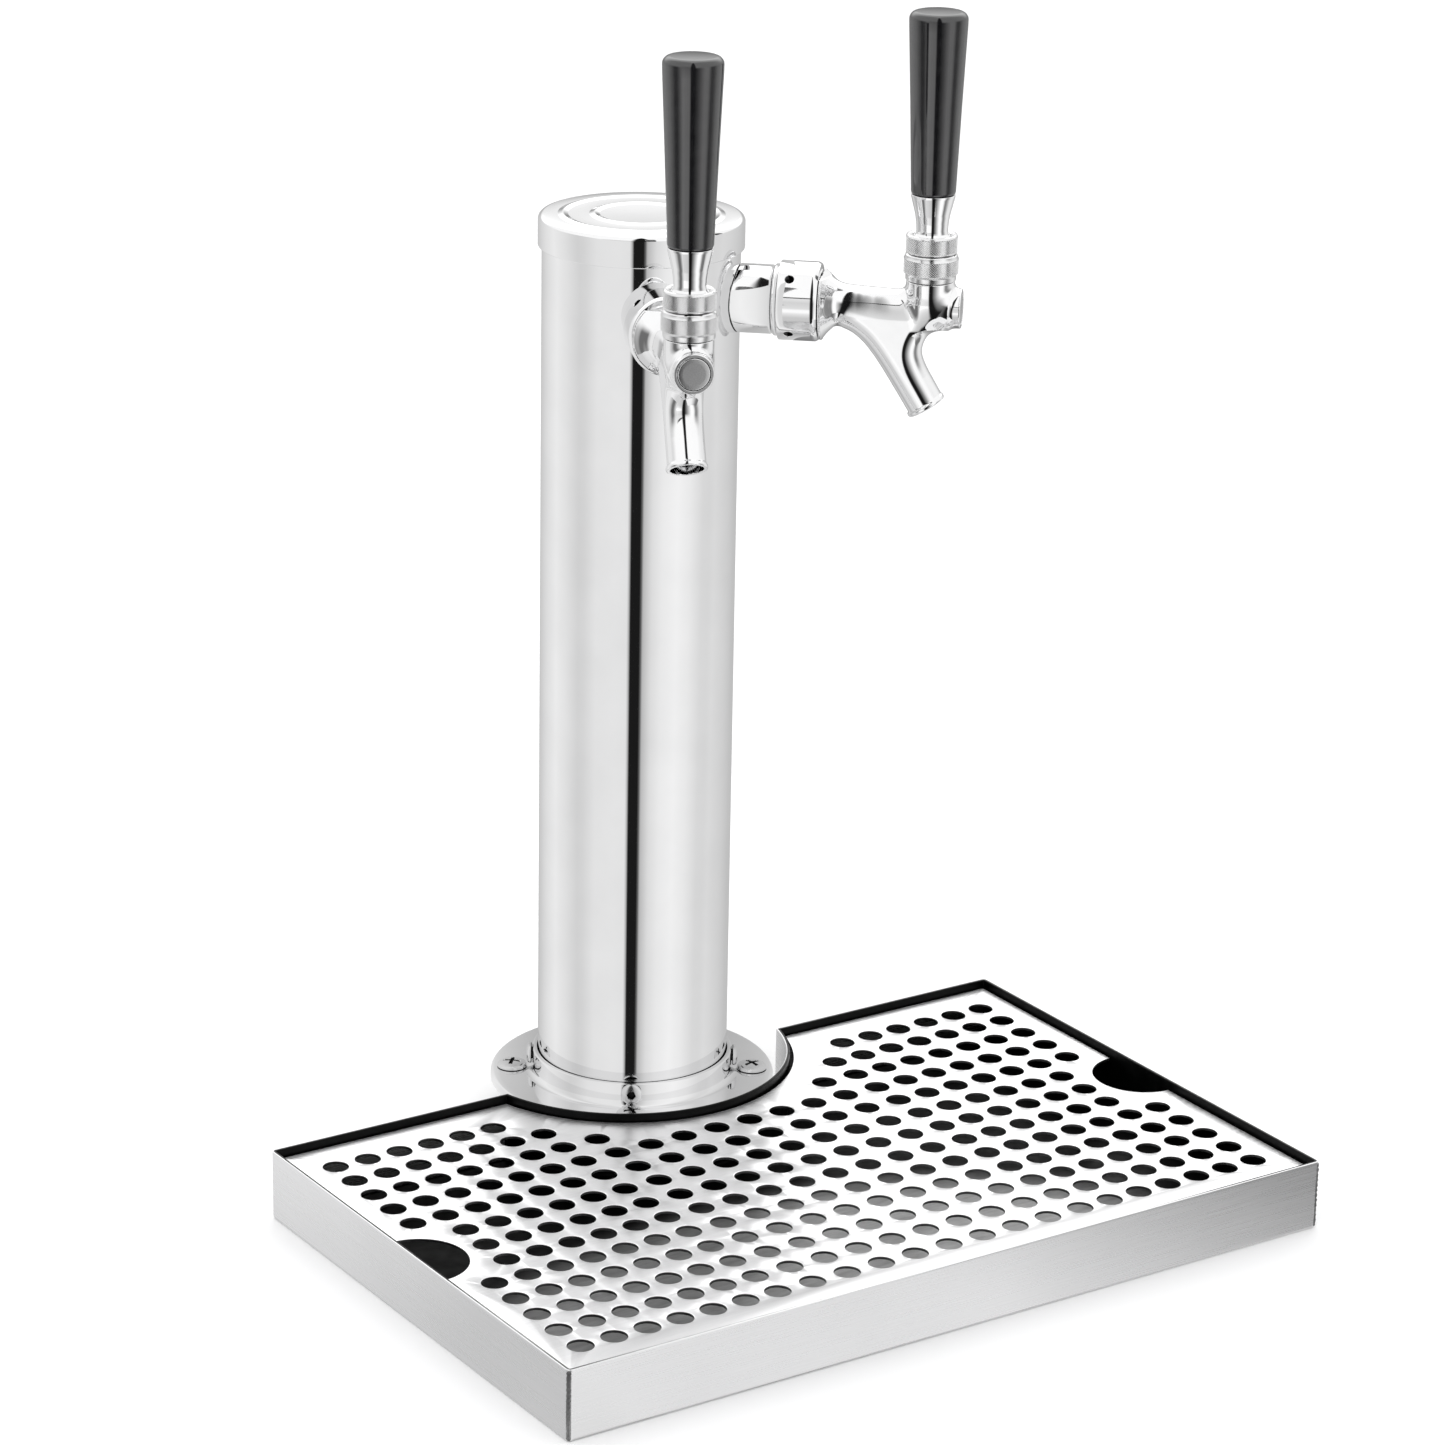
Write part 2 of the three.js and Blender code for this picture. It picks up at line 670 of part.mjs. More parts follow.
const COLLAR_TOP = 28.6;
const COLLAR_RADIUS = 9.8;
const COLLAR_RECESS = { radius: 7.2, depth: 1.4 }; // for the foot of the ferrule
function handleCollar() {
  const hollow = DOME_RADIUS + GAP;
  const rim = THREE.MathUtils.radToDeg(Math.acos(COLLAR_RADIUS / hollow));
  const inner = THREE.MathUtils.radToDeg(Math.acos((STEM_RADIUS + GAP) / hollow));
  return solid(
    latheY([
      ...arc(0, PIVOT_Y, hollow, inner, rim, 4),
      [COLLAR_RADIUS, COLLAR_TOP - 0.7],
      [COLLAR_RADIUS - 0.6, COLLAR_TOP],
      [COLLAR_RECESS.radius, COLLAR_TOP],
      [COLLAR_RECESS.radius, COLLAR_TOP - COLLAR_RECESS.depth],
      [STEM_RADIUS + GAP, COLLAR_TOP - COLLAR_RECESS.depth],
    ]).translate(LEVER_X, 0, 0),
  );
}

const GRIP_LOWER_RADIUS = 8.45;
const GRIP_UPPER_RADIUS = 11.15;
const GRIP_TOP_ROUND = 2.8;
// The ferrule's radii from its foot up to where it starts to widen, each with its height above the foot.
const FERRULE = [
  [6.7, 0],
  [6.5, 0.7],
  [5.95, 2.2],
  [6.6, 8.5],
];
function handleFerrule() {
  const hole = STEM_RADIUS + GAP;
  const bottom = COLLAR_TOP - COLLAR_RECESS.depth + GAP;
  return solid(
    latheY([
      [hole, bottom],
      ...FERRULE.map(([radius, height]) => [radius, bottom + height]),
      [GRIP_LOWER_RADIUS, GRIP_BOTTOM - GAP],
      [hole, GRIP_BOTTOM - GAP],
    ]).translate(LEVER_X, 0, 0),
  );
}

function handleGrip() {
  const hole = STEM_RADIUS + GAP;
  return solid(
    latheY([
      [hole, GRIP_BOTTOM],
      [GRIP_LOWER_RADIUS, GRIP_BOTTOM],
      ...arc(GRIP_UPPER_RADIUS - GRIP_TOP_ROUND, GRIP_TOP - GRIP_TOP_ROUND, GRIP_TOP_ROUND, 0, 80, 3),
      [0, GRIP_TOP],
      [0, STEM_TOP + GAP],
      [hole, STEM_TOP + GAP],
    ]).translate(LEVER_X, 0, 0),
  );
}

// ---- Drip tray and grate, in the surface's frame with the column's axis at the origin ----
// The outline of the tray, or of a plate inside it: inset is how far its edges are inside the outer faces.
function trayOutline(inset) {
  const side = TRAY_LENGTH / 2 - inset;
  const front = TRAY_BACK - TRAY_DEPTH + inset;
  const back = TRAY_BACK - inset;
  const radius = CUTOUT_RADIUS + inset;
  const half = THREE.MathUtils.radToDeg(Math.asin((CUTOUT_CENTRE - back) / radius));
  return [
    [-side, front],
    [side, front],
    [side, back],
    ...arc(0, CUTOUT_CENTRE, radius, -half, -180 + half, 20),
    [-side, back],
  ];
}

function dripTray() {
  const outside = solid(slab(trayOutline(0), 0, TRAY_HEIGHT));
  return outside.subtract(solid(slab(trayOutline(TRAY_SHEET), TRAY_SHEET, TRAY_HEIGHT + 1)));
}

const notchCentre = (side) => [side * (TRAY_LENGTH / 2 - TRAY_SHEET - 1), TRAY_BACK - TRAY_DEPTH / 2];

// Every place of the hole pattern that is clear of the cut-out and of the finger notches.
function holeCentres() {
  const columns = Array.from({ length: COLUMNS_PER_SIDE }, (_, i) => {
    const middle = Math.min(i, SIDE_COLUMNS_FROM);
    return FIRST_COLUMN + middle * MIDDLE_PITCH + (i - middle) * SIDE_PITCH;
  });
  const rows = Array.from({ length: HOLE_ROWS }, (_, i) => FIRST_ROW - i * ROW_PITCH);
  const all = rows.flatMap((y) => columns.flatMap((x) => [[-x, y], [x, y]]));
  const clear = ([x, y]) => {
    const [notchX, notchY] = notchCentre(Math.sign(x));
    const fromNotch = Math.hypot(x - notchX, y - notchY);
    const fromCutout = Math.hypot(x, y - CUTOUT_CENTRE);
    return fromCutout > CUTOUT_RADIUS + CUTOUT_MARGIN && fromNotch > NOTCH_RADIUS + NOTCH_MARGIN;
  };
  return all.filter(clear);
}

function dripGrate() {
  const inset = TRAY_SHEET + GRATE_CLEARANCE;
  const top = TRAY_HEIGHT - GRATE_DROP;
  const floor = TRAY_SHEET + GAP;
  const outline = trayOutline(inset);
  const shape = new THREE.Shape(outline.map(([x, y]) => new THREE.Vector2(x, y)));
  for (const [x, y] of holeCentres()) {
    const corners = arc(x, y, HOLE_RADIUS, 0, 360, HOLE_SIDES).slice(0, -1).reverse();
    shape.holes.push(new THREE.Path(corners.map(([cx, cy]) => new THREE.Vector2(cx, cy))));
  }
  const sheet = new THREE.ExtrudeGeometry(shape, { depth: GRATE_SHEET, bevelEnabled: false });
  const plate = solid(sheet.translate(0, 0, top - GRATE_SHEET));
  const side = TRAY_LENGTH / 2 - inset;
  const front = TRAY_BACK - TRAY_DEPTH + inset;
  const back = TRAY_BACK - inset;
  const cornerX = Math.max(...outline.slice(3, -1).map(([x]) => x)) + 1;
  const legs = [
    [-side, side, front],
    [cornerX, side, back - GRATE_SHEET],
    [-side, -cornerX, back - GRATE_SHEET],
  ].map(([from, to, y]) => {
    const height = top - floor;
    const leg = new THREE.BoxGeometry(to - from, GRATE_SHEET, height);
    return solid(leg.translate((from + to) / 2, y + GRATE_SHEET / 2, floor + height / 2));
  });
  const notches = [-1, 1].map((end) => {
    const [x, y] = notchCentre(end);
    return solid(rodZ(NOTCH_RADIUS, top - 5, top + 1, 24).translate(x, y, 0));
  });
  return cut(legs.reduce((all, leg) => all.add(leg), plate), notches);
}

// ---- Assembly ----
function tap(side, degrees) {
  const group = new THREE.Group();
  const pieces = [
    ["shank_adapter", shankAdapter(), chrome],
    ["shank", shank(), innerSteel],
    ["shank_washer", shankWasher(), innerSteel],
    ["shank_nut", shankNut(), innerSteel],
    ["tail_elbow", tailElbow(), innerSteel],
    ["coupling_nut", couplingNut(), chrome],
    ["faucet_body", faucetBody(), chrome],
    ["shaft_cap", shaftCap(), steel],
    ["plunger", plunger(), innerSteel],
    ["plunger_seal", plungerSeal(), rubber],
    ["bonnet", bonnet(), knurled],
    ["lever_bushing", leverBushing(), rubber],
    ["lever", lever(), innerSteel],
    ["handle_collar", handleCollar(), knurled],
    ["handle_ferrule", handleFerrule(), chrome],
    ["handle_grip", handleGrip(), blackPlastic],
  ];
  for (const [name, body, look] of pieces) group.add(named(`${name}_${side}`, body, look));
  const forward = new THREE.Vector3(0, -1, 0);
  const up = new THREE.Vector3(0, 0, 1);
  const frame = new THREE.Matrix4().makeBasis(forward, up, new THREE.Vector3(-1, 0, 0));
  frame.premultiply(new THREE.Matrix4().makeRotationZ(radians(degrees)));
  group.quaternion.setFromRotationMatrix(frame);
  group.position.z = FLANGE_LIFT + TAP_HEIGHT;
  return group;
}

const tower = new THREE.Group();
tower.rotation.z = radians(TOWER_TURN);
tower.add(named("base_spacer", baseSpacer(), rubber));
tower.add(named("base_flange", baseFlange(), chrome));
tower.add(named("column_tube", columnTube(), chrome));
tower.add(named("top_cap", topCap(), chrome));
SCREW_ANGLES.forEach((angle, i) => {
  tower.add(named(`flange_screw_${i + 1}`, flangeScrew(angle), steel));
  tower.add(named(`set_screw_${i + 1}`, setScrew(angle), steel));
});
tower.add(tap("left", -TAP_ANGLE));
tower.add(tap("right", TAP_ANGLE));

const tray = new THREE.Group();
tray.add(named("drip_tray", dripTray(), steel));
tray.add(named("drip_grate", dripGrate(), steel));

// Every piece is modelled about the column's axis; the model is moved so that the origin is under the
// middle of the object.
const model = new THREE.Group();
model.add(tower, tray);
model.updateMatrixWorld(true);
const box = new THREE.Box3().setFromObject(model, true);
model.position.set(-(box.min.x + box.max.x) / 2, -(box.min.y + box.max.y) / 2, -box.min.z);

const beerTapTower = new THREE.Group();
beerTapTower.add(model);

export default beerTapTower;
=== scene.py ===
import json
from math import acos, asin, atan2, cos, degrees, hypot, pi, radians, sin, sqrt, tan

import bmesh
import bpy
import numpy as np
from mathutils import Matrix, Vector
from mathutils.geometry import delaunay_2d_cdt


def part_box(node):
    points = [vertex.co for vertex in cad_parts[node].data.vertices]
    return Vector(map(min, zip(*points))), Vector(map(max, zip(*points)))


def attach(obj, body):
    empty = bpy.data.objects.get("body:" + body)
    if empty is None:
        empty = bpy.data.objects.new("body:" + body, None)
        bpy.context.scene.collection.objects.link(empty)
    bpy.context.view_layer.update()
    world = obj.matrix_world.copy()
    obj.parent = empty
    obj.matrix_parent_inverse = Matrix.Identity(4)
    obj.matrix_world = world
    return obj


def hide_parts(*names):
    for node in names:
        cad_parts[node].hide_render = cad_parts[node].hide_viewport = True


# Beer tap tower. Shapes are modelled in millimetres and scaled to metres when their mesh is made.
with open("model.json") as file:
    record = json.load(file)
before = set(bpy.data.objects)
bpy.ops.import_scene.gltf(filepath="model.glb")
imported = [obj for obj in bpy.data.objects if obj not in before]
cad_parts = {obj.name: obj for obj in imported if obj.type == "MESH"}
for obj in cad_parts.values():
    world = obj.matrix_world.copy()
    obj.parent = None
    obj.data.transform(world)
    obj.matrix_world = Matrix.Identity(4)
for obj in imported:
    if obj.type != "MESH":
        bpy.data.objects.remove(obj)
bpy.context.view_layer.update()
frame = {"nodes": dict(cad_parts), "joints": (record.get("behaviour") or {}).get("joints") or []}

MM = 0.001
UP = Vector((0, 0, 1))
tube_low, tube_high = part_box("column_tube")
AXIS_X, AXIS_Y = ((tube_low + tube_high) / 2).xy  # the column's axis
JOINTS = {joint["name"]: joint for joint in frame["joints"]}


# ---- The two taps' frames: x away from the column, y up from the tap's centreline, z sideways ----
LEVER_X = 111.0
PIVOT_Y = 11.3


def tap_frame(side):
    joint = JOINTS[f"handle_tilt_{side}"]
    pivot = Vector(joint["pos_m"])
    forward = Vector(joint["axis"]).cross(UP).normalized()
    centre = pivot - forward * LEVER_X * MM - UP * PIVOT_Y * MM
    turn = Matrix((forward, UP, forward.cross(UP))).transposed().to_4x4()
    return Matrix.Translation(centre) @ turn


TAPS = {side: tap_frame(side) for side in ("left", "right")}
TOWER_FORWARD = (TAPS["left"].col[0].xyz + TAPS["right"].col[0].xyz).normalized()
TOWER_ANGLE = atan2(TOWER_FORWARD.x, -TOWER_FORWARD.y)
COLUMN_FRAME = Matrix.Translation((AXIS_X, AXIS_Y, 0)) @ Matrix.Rotation(TOWER_ANGLE, 4, "Z")
TRAY_FRAME = Matrix.Translation((AXIS_X, AXIS_Y, 0))


# ---- Meshes ----
def mesh_of(name, points, faces, smooth=True, sharp=35, tidy=True):
    """A mesh from points in millimetres, with its faces turned outwards."""
    mesh = bpy.data.meshes.new(name)
    points = np.asarray(points, float) * MM
    mesh.from_pydata(points.tolist(), [], [list(map(int, face)) for face in faces])
    if tidy:
        work = bmesh.new()
        work.from_mesh(mesh)
        bmesh.ops.remove_doubles(work, verts=work.verts, dist=1e-7)
        bmesh.ops.recalc_face_normals(work, faces=work.faces)
        work.to_mesh(mesh)
        work.free()
    mesh.polygons.foreach_set("use_smooth", [smooth] * len(mesh.polygons))
    if smooth and sharp:
        mesh.set_sharp_from_angle(angle=radians(sharp))
    mesh.update()
    return mesh


def linked(name, data):
    """A new object in the scene."""
    made = bpy.data.objects.new(name, data)
    bpy.context.scene.collection.objects.link(made)
    return made


def add(name, mesh, material, body, slot, replaced=(), place=None):
    """One piece of the object, in its place and riding on its body."""
    mesh = mesh.copy()
    mesh.name = name
    if place is not None:
        mesh.transform(place)
    if not mesh.materials:
        mesh.materials.append(material)
    piece = linked(name, mesh)
    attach(piece, body)
    if replaced:
        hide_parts(*replaced)
    return piece


def two_materials(mesh, first, second, is_second):
    """Gives the second material to the faces whose middle, in millimetres, passes the test."""
    mesh.materials.append(first)
    mesh.materials.append(second)
    for polygon in mesh.polygons:
        polygon.material_index = int(is_second(*(polygon.center / MM)))
    return mesh


def between(a, b):
    """Quads between two closed loops of as many point numbers."""
    return list(zip(a, b, (*b[1:], b[0]), (*a[1:], a[0])))


def walls(loops):
    """Quads between each loop of point numbers and the next."""
    return [face for a, b in zip(loops, loops[1:]) for face in between(a, b)]


def ring_numbers(count, rings, start=0):
    """The point numbers of rings of equal length that follow each other."""
    return [range(start + k * count, start + (k + 1) * count) for k in range(rings)]


def full_turn(count):
    return np.arange(count) * 2 * pi / count


def rounded(points, steps=8):
    """A polyline of (x, y) or (x, y, radius): a corner with a radius becomes an arc."""
    places = [np.array(point[:2], float) for point in points]
    out = []
    for i, (here, point) in enumerate(zip(places, points)):
        if len(point) < 3 or i in (0, len(points) - 1):
            out.append(here)
            continue
        before, after = places[i - 1] - here, places[i + 1] - here
        a, b = np.linalg.norm(before), np.linalg.norm(after)
        before, after = before / a, after / b
        half = acos(float(np.clip(before @ after, -1, 1))) / 2
        radius = point[2]
        reach = radius / tan(half)
        limit = 0.49 * min(a, b)  # an arc takes less than half of either side
        if reach > limit:
            reach, radius = limit, limit * tan(half)
        middle = before + after
        centre = here + middle / np.linalg.norm(middle) * radius / sin(half)
        start, end = here + before * reach - centre, here + after * reach - centre
        sweep = atan2(start[0] * end[1] - start[1] * end[0], start @ end)
        for k in range(steps + 1):
            c, s = cos(sweep * k / steps), sin(sweep * k / steps)
            out.append(centre + (start[0] * c - start[1] * s, start[0] * s + start[1] * c))
    return np.array(out)


AXES = {"x": (0, 1, 2), "y": (1, 2, 0), "z": (2, 0, 1)}


def revolved(rows, axis, segments):
    """Points and faces of a surface of revolution; a row is (radius or radii, height)."""
    along, first, second = AXES[axis]
    angles = full_turn(segments)
    points, starts = [], []
    for radius, height in rows:
        starts.append(len(points))
        if np.ndim(radius) == 0 and abs(radius) < 1e-6:
            centre = [0.0, 0.0, 0.0]
            centre[along] = height
            points.append(centre)
            continue
        ring = np.zeros((segments, 3))
        ring[:, along] = height
        ring[:, first] = radius * np.cos(angles)
        ring[:, second] = radius * np.sin(angles)
        points.extend(ring.tolist())
    starts.append(len(points))
    faces = []
    for a, b, end in zip(starts, starts[1:], starts[2:]):
        if b - a == 1 and end - b == 1:
            continue
        for i in range(segments):
            j = (i + 1) % segments
            if b - a == 1:
                faces.append((a, b + i, b + j))
            elif end - b == 1:
                faces.append((a + i, b, a + j))
            else:
                faces.append((a + i, b + i, b + j, a + j))
    return points, faces


def lathe(name, profile, axis, segments=128, steps=8):
    """A lathe-turned mesh from a profile of (radius, height, rounding)."""
    if profile[0][0] or profile[-1][0]:
        start = ((profile[0][0] + profile[-1][0]) / 2, (profile[0][1] + profile[-1][1]) / 2)
        profile = [start, *profile, start]
    points, faces = revolved(rounded(profile, steps), axis, segments)
    return mesh_of(name, points, faces)


KNURL_AROUND, KNURL_STEPS = 68, 4  # diamonds round a knurl, and points across each
KNURL_LAND = 0.3  # how much of a diamond stays flat


def knurl_band(radius, low, high, rows, depth):
    """Rows of a diamond knurl, cut inwards from the radius."""
    angle = np.arange(KNURL_AROUND * KNURL_STEPS) / KNURL_STEPS
    out = []
    for k in range(rows * KNURL_STEPS + 1):
        up = k / KNURL_STEPS
        grooves = [np.abs(2 * np.mod(angle + sign * up, 1) - 1) for sign in (-1, 1)]
        groove = np.clip((np.maximum(*grooves) - KNURL_LAND) / (1 - KNURL_LAND), 0, 1)
        out.append((radius - depth * groove, low + (high - low) * k / (rows * KNURL_STEPS)))
    return out


def knurled(name, before, band, after):
    """A mesh turned about y whose middle is knurled: band is (radius, low, high, rows, depth)."""
    rows = [*before, *knurl_band(*band), *after]
    points, faces = revolved(rows, "y", KNURL_AROUND * KNURL_STEPS)
    return mesh_of(name, points, faces, sharp=12)


# ---- The faucet's cast body, from a distance field ----
BARREL = np.array([
    (69.0, 15.6), (70.2, 14.35), (71.0, 13.3), (72.2, 11.75), (73.7, 10.2), (75.0, 9.0), (76.4, 8.15),
    (78.0, 7.6), (80.0, 7.28), (84.0, 7.0), (90.0, 6.7), (98.8, 6.4), (106.0, 6.5), (130.0, 6.5),
])
SPOUT_END = np.array((111.0, -39.0))
SPOUT_BEND = np.array((100.4, -22.0))
SPOUT_ALONG = (SPOUT_END - SPOUT_BEND) / np.linalg.norm(SPOUT_END - SPOUT_BEND)
SPOUT_RADIUS = 7.2
SIDE_OUTLINE = [
    (74.0, -7.6), (77.8, -9.3), (81.8, -11.1), (85.9, -14.4), (89.3, -18.4), (92.7, -23.1), (98.1, -31.5),
    (104.9, -42.4), (108.1, -47.5), (120.3, -39.9), (117.1, -34.8), (111.7, -25.6), (109.3, -20.7),
    (108.5, -16.9), (109.6, -12.8), (112.0, -9.6), (115.4, -7.4), (118.6, -6.6), (119.4, -3.0),
    (118.0, 2.6), (112.0, 3.2), (100.0, 3.0), (88.0, 3.2), (78.0, 3.2), (73.5, 1.0), (72.5, -4.0),
]
STRAIGHT_SPANS = range(6, 11)  # the spout's two sides and its mouth
# Round steps and bores about the barrel's axis: radius, from and to along x, rounding.
NECK_STEPS = [(14.5, 69.6, 70.55, 0.35), (10.5, 62.0, 71.0, 0.3), (11.4, 60.3, 66.0, 0.3)]
BORE_RADIUS = 4.6
BORES = [(8.0, 50.0, 74.5, 0.3), (BORE_RADIUS, 50.0, 121.0, 0.3), (6.15, 119.8, 130.0, 0.1)]
HEAD_TOP = 10.6
NOSE_END = 123.2


def spline(points, per=10):
    """A closed Catmull-Rom curve through the points; the straight spans stay straight."""
    points = np.array(points, float)
    count = len(points)
    out = []
    for i in range(count):
        p0, p1, p2, p3 = (points[(i + k) % count] for k in (-1, 0, 1, 2))
        for k in range(per):
            t = k / per
            if i in STRAIGHT_SPANS:
                out.append(p1 + (p2 - p1) * t)
                continue
            m1, m2 = (p2 - p0) / 2, (p3 - p1) / 2
            h = 2 * t**3 - 3 * t**2 + 1, t**3 - 2 * t**2 + t, -2 * t**3 + 3 * t**2, t**3 - t**2
            out.append(h[0] * p1 + h[1] * m1 + h[2] * p2 + h[3] * m2)
    return np.array(out)


def outline_distance(outline, x, y):
    """Signed distance to a closed outline in the plane, negative inside."""
    points = np.stack([np.ravel(x), np.ravel(y)], 1)
    best = np.full(len(points), np.inf)
    inside = np.zeros(len(points), bool)
    for a, b in zip(outline, np.roll(outline, -1, 0)):
        edge = b - a
        rel = points - a
        t = np.clip(rel @ edge / max(edge @ edge, 1e-12), 0, 1)
        best = np.minimum(best, ((rel - t[:, None] * edge) ** 2).sum(1))
        crosses = (a[1] > points[:, 1]) != (b[1] > points[:, 1])
        if edge[1] != 0:
            at = a[0] + (points[:, 1] - a[1]) / edge[1] * edge[0]
            inside ^= crosses & (points[:, 0] < at)
    return (np.sqrt(best) * np.where(inside, -1, 1)).reshape(np.shape(x))


def soft_min(a, b, k):
    h = np.clip(0.5 + 0.5 * (b - a) / k, 0, 1)
    return b + (a - b) * h - k * h * (1 - h)


def rod(radial, radius, along, low, high, rounding=0.3):
    """Distance to a rounded cylinder, given the distance from its axis and the place along it."""
    a = radial - radius + rounding
    b = np.maximum(low - along, along - high) + rounding
    outside = np.hypot(np.maximum(a, 0), np.maximum(b, 0))
    return outside + np.minimum(np.maximum(a, b), 0) - rounding


def body_distance(x, y, z, side):
    """Signed distance to the faucet's body; side is the distance to its side outline at (x, y)."""
    radial = np.hypot(y, z)
    reach = np.interp(x, BARREL_X, BARREL_R)
    slope = np.interp(x, BARREL_X, BARREL_SLOPE)
    body = np.maximum((radial - reach) / np.sqrt(1 + slope**2), np.maximum(70.0 - x, x - 117))
    for radius, low, high, rounding in NECK_STEPS:
        body = np.minimum(body, rod(radial, radius, x, low, high, rounding))
    # the plate that carries the spout, with round edges along the side outline
    web = np.hypot(np.maximum(side + SPOUT_RADIUS, 0), z) - SPOUT_RADIUS
    web = np.where(side + SPOUT_RADIUS < 0, np.abs(z) - SPOUT_RADIUS, web)
    body = soft_min(body, web, 1.6)
    # the upright head, narrower at its waist, and the nose
    upright = np.hypot(x - LEVER_X, z)
    lower = np.clip((3.0 - y) / 10.0, 0, 1)
    waist = 9.2 - 2.9 * lower**2 * (3 - 2 * lower)
    head = np.maximum(rod(upright, waist, y, -20.0, HEAD_TOP, 0.35), -7.0 - y)
    nose = rod(radial, 7.55, x, 108.0, NOSE_END, 0.45)
    body = soft_min(body, soft_min(head, nose, 3.2), 3.4)
    body = np.maximum(np.maximum(body, x - NOSE_END), y - HEAD_TOP)
    # the spout's lip
    dx, dy = x - SPOUT_END[0], y - SPOUT_END[1]
    end = dx * SPOUT_ALONG[0] + dy * SPOUT_ALONG[1]
    across = np.hypot(dx * SPOUT_ALONG[1] - dy * SPOUT_ALONG[0], z)
    body = soft_min(body, rod(across, SPOUT_RADIUS + 0.55, end, -1.6, 0.0, 0.5), 0.7)
    body = np.maximum(body, end)
    # the way through: mouth, spout, barrel, then the lever's seat and slot
    hollow = rod(across, 6.25, end, -9.0, 5.0, 0.8)
    hollow = np.minimum(hollow, np.maximum(across - BORE_RADIUS, np.maximum(end - 1, -22.0 - end)))
    for radius, low, high, rounding in BORES:
        hollow = np.minimum(hollow, rod(radial, radius, x, low, high, rounding))
    hollow = np.minimum(hollow, rod(upright, 6.3, y, 5.2, 20.0, 0.1))
    slot = np.maximum(np.abs(z) - 2.1, np.maximum(x - LEVER_X - 2.1, -2.5 - y))
    slot = np.maximum(slot, (LEVER_X - 2.4 - x) * 0.866 - (PIVOT_Y - y) * 0.5)
    hollow = np.minimum(hollow, np.maximum(slot, y - 7))
    return np.maximum(body, -hollow)


def barrel_curve():
    """The barrel's radius and slope against x, smooth through the given points."""
    x, r = BARREL.T
    step = np.diff(x)
    secant = np.diff(r) / step
    slope = np.zeros(len(x))
    slope[0], slope[-1] = secant[0], secant[-1]
    for i in range(1, len(x) - 1):
        if secant[i - 1] * secant[i] > 0:
            w1, w2 = 2 * step[i] + step[i - 1], step[i] + 2 * step[i - 1]
            slope[i] = (w1 + w2) / (w1 / secant[i - 1] + w2 / secant[i])
    fine = np.linspace(x[0], x[-1], 2000)
    i = np.clip(np.searchsorted(x, fine, side="right") - 1, 0, len(x) - 2)
    t = (fine - x[i]) / step[i]
    value = (
        (2 * t**3 - 3 * t**2 + 1) * r[i]
        + (t**3 - 2 * t**2 + t) * step[i] * slope[i]
        + (-2 * t**3 + 3 * t**2) * r[i + 1]
        + (t**3 - t**2) * step[i] * slope[i + 1]
    )
    return fine, value, np.gradient(value, fine)


BARREL_X, BARREL_R, BARREL_SLOPE = barrel_curve()
OUTLINE = spline(SIDE_OUTLINE)


def surface_net(value, low, step):
    """Vertices and quads of the zero surface of a sampled field."""
    inside = value < 0
    cells = tuple(n - 1 for n in value.shape)
    total = np.zeros(cells, np.int8)
    where = np.zeros(cells + (3,), np.float32)

    def at(array, corner):
        return array[tuple(slice(c, c + n) for c, n in zip(corner, cells))]

    for a in np.ndindex(2, 2, 2):
        for axis in range(3):
            if a[axis]:
                continue
            b = tuple(c + (k == axis) for k, c in enumerate(a))
            va, vb = at(value, a), at(value, b)
            crosses = at(inside, a) != at(inside, b)
            t = np.where(crosses, va / np.where(crosses, va - vb, 1), 0)
            total += crosses
            for k in range(3):
                where[..., k] += np.where(crosses, a[k] + (t if k == axis else 0), 0)
    used = total > 0
    index = np.full(cells, -1, np.int64)
    index[used] = np.arange(used.sum())
    base = np.stack(np.nonzero(used), 1)
    points = low + (base + where[used] / total[used][:, None]) * step
    faces = []
    for axis in range(3):
        first, second = (axis + 1) % 3, (axis + 2) % 3
        near = [slice(None)] * 3
        far = [slice(None)] * 3
        near[axis], far[axis] = slice(0, -1), slice(1, None)
        crosses = inside[tuple(near)] != inside[tuple(far)]
        at_edge = np.stack(np.nonzero(crosses), 1)
        keep = (at_edge[:, first] > 0) & (at_edge[:, second] > 0)
        at_edge = at_edge[keep]
        solid = inside[tuple(near)][tuple(at_edge.T)]
        down_first, down_second = np.eye(3, dtype=int)[[first, second]]
        quad = np.stack([
            index[tuple((at_edge - df * down_first - ds * down_second).T)]
            for df, ds in ((1, 1), (0, 1), (0, 0), (1, 0))
        ], 1)
        quad[~solid] = quad[~solid][:, ::-1]
        faces.append(quad)
    return points, np.concatenate(faces)


def faucet_mesh(step):
    """The faucet's body as a fine mesh whose normals follow the distance field."""
    low = np.array((59.3, -45.0, -15.6))
    high = np.array((124.4, 11.6, 15.6))
    axes = [np.arange(a, b + step, step) for a, b in zip(low, high)]
    x, y, z = np.meshgrid(*axes, indexing="ij", sparse=True)
    side = outline_distance(OUTLINE, *np.meshgrid(axes[0], axes[1], indexing="ij"))[:, :, None]
    value = body_distance(x, y, z, side)
    points, faces = surface_net(value.astype(np.float32), low, step)

    def field(p):
        return body_distance(*p.T, outline_distance(OUTLINE, p[:, 0], p[:, 1]))

    def gradient(p, h):
        g = np.stack([field(p + h * e) - field(p - h * e) for e in np.eye(3)], 1)
        return g / np.maximum(np.linalg.norm(g, axis=1, keepdims=True), 1e-9)

    slope = gradient(points, 0.02)
    for _ in range(2):
        points = points - np.clip(field(points), -0.2, 0.2)[:, None] * slope
    normals = gradient(points, 0.12)
    mesh = mesh_of("faucet_body", points, faces, sharp=None, tidy=False)
    mesh.normals_split_custom_set_from_vertices(normals.tolist())
    return mesh


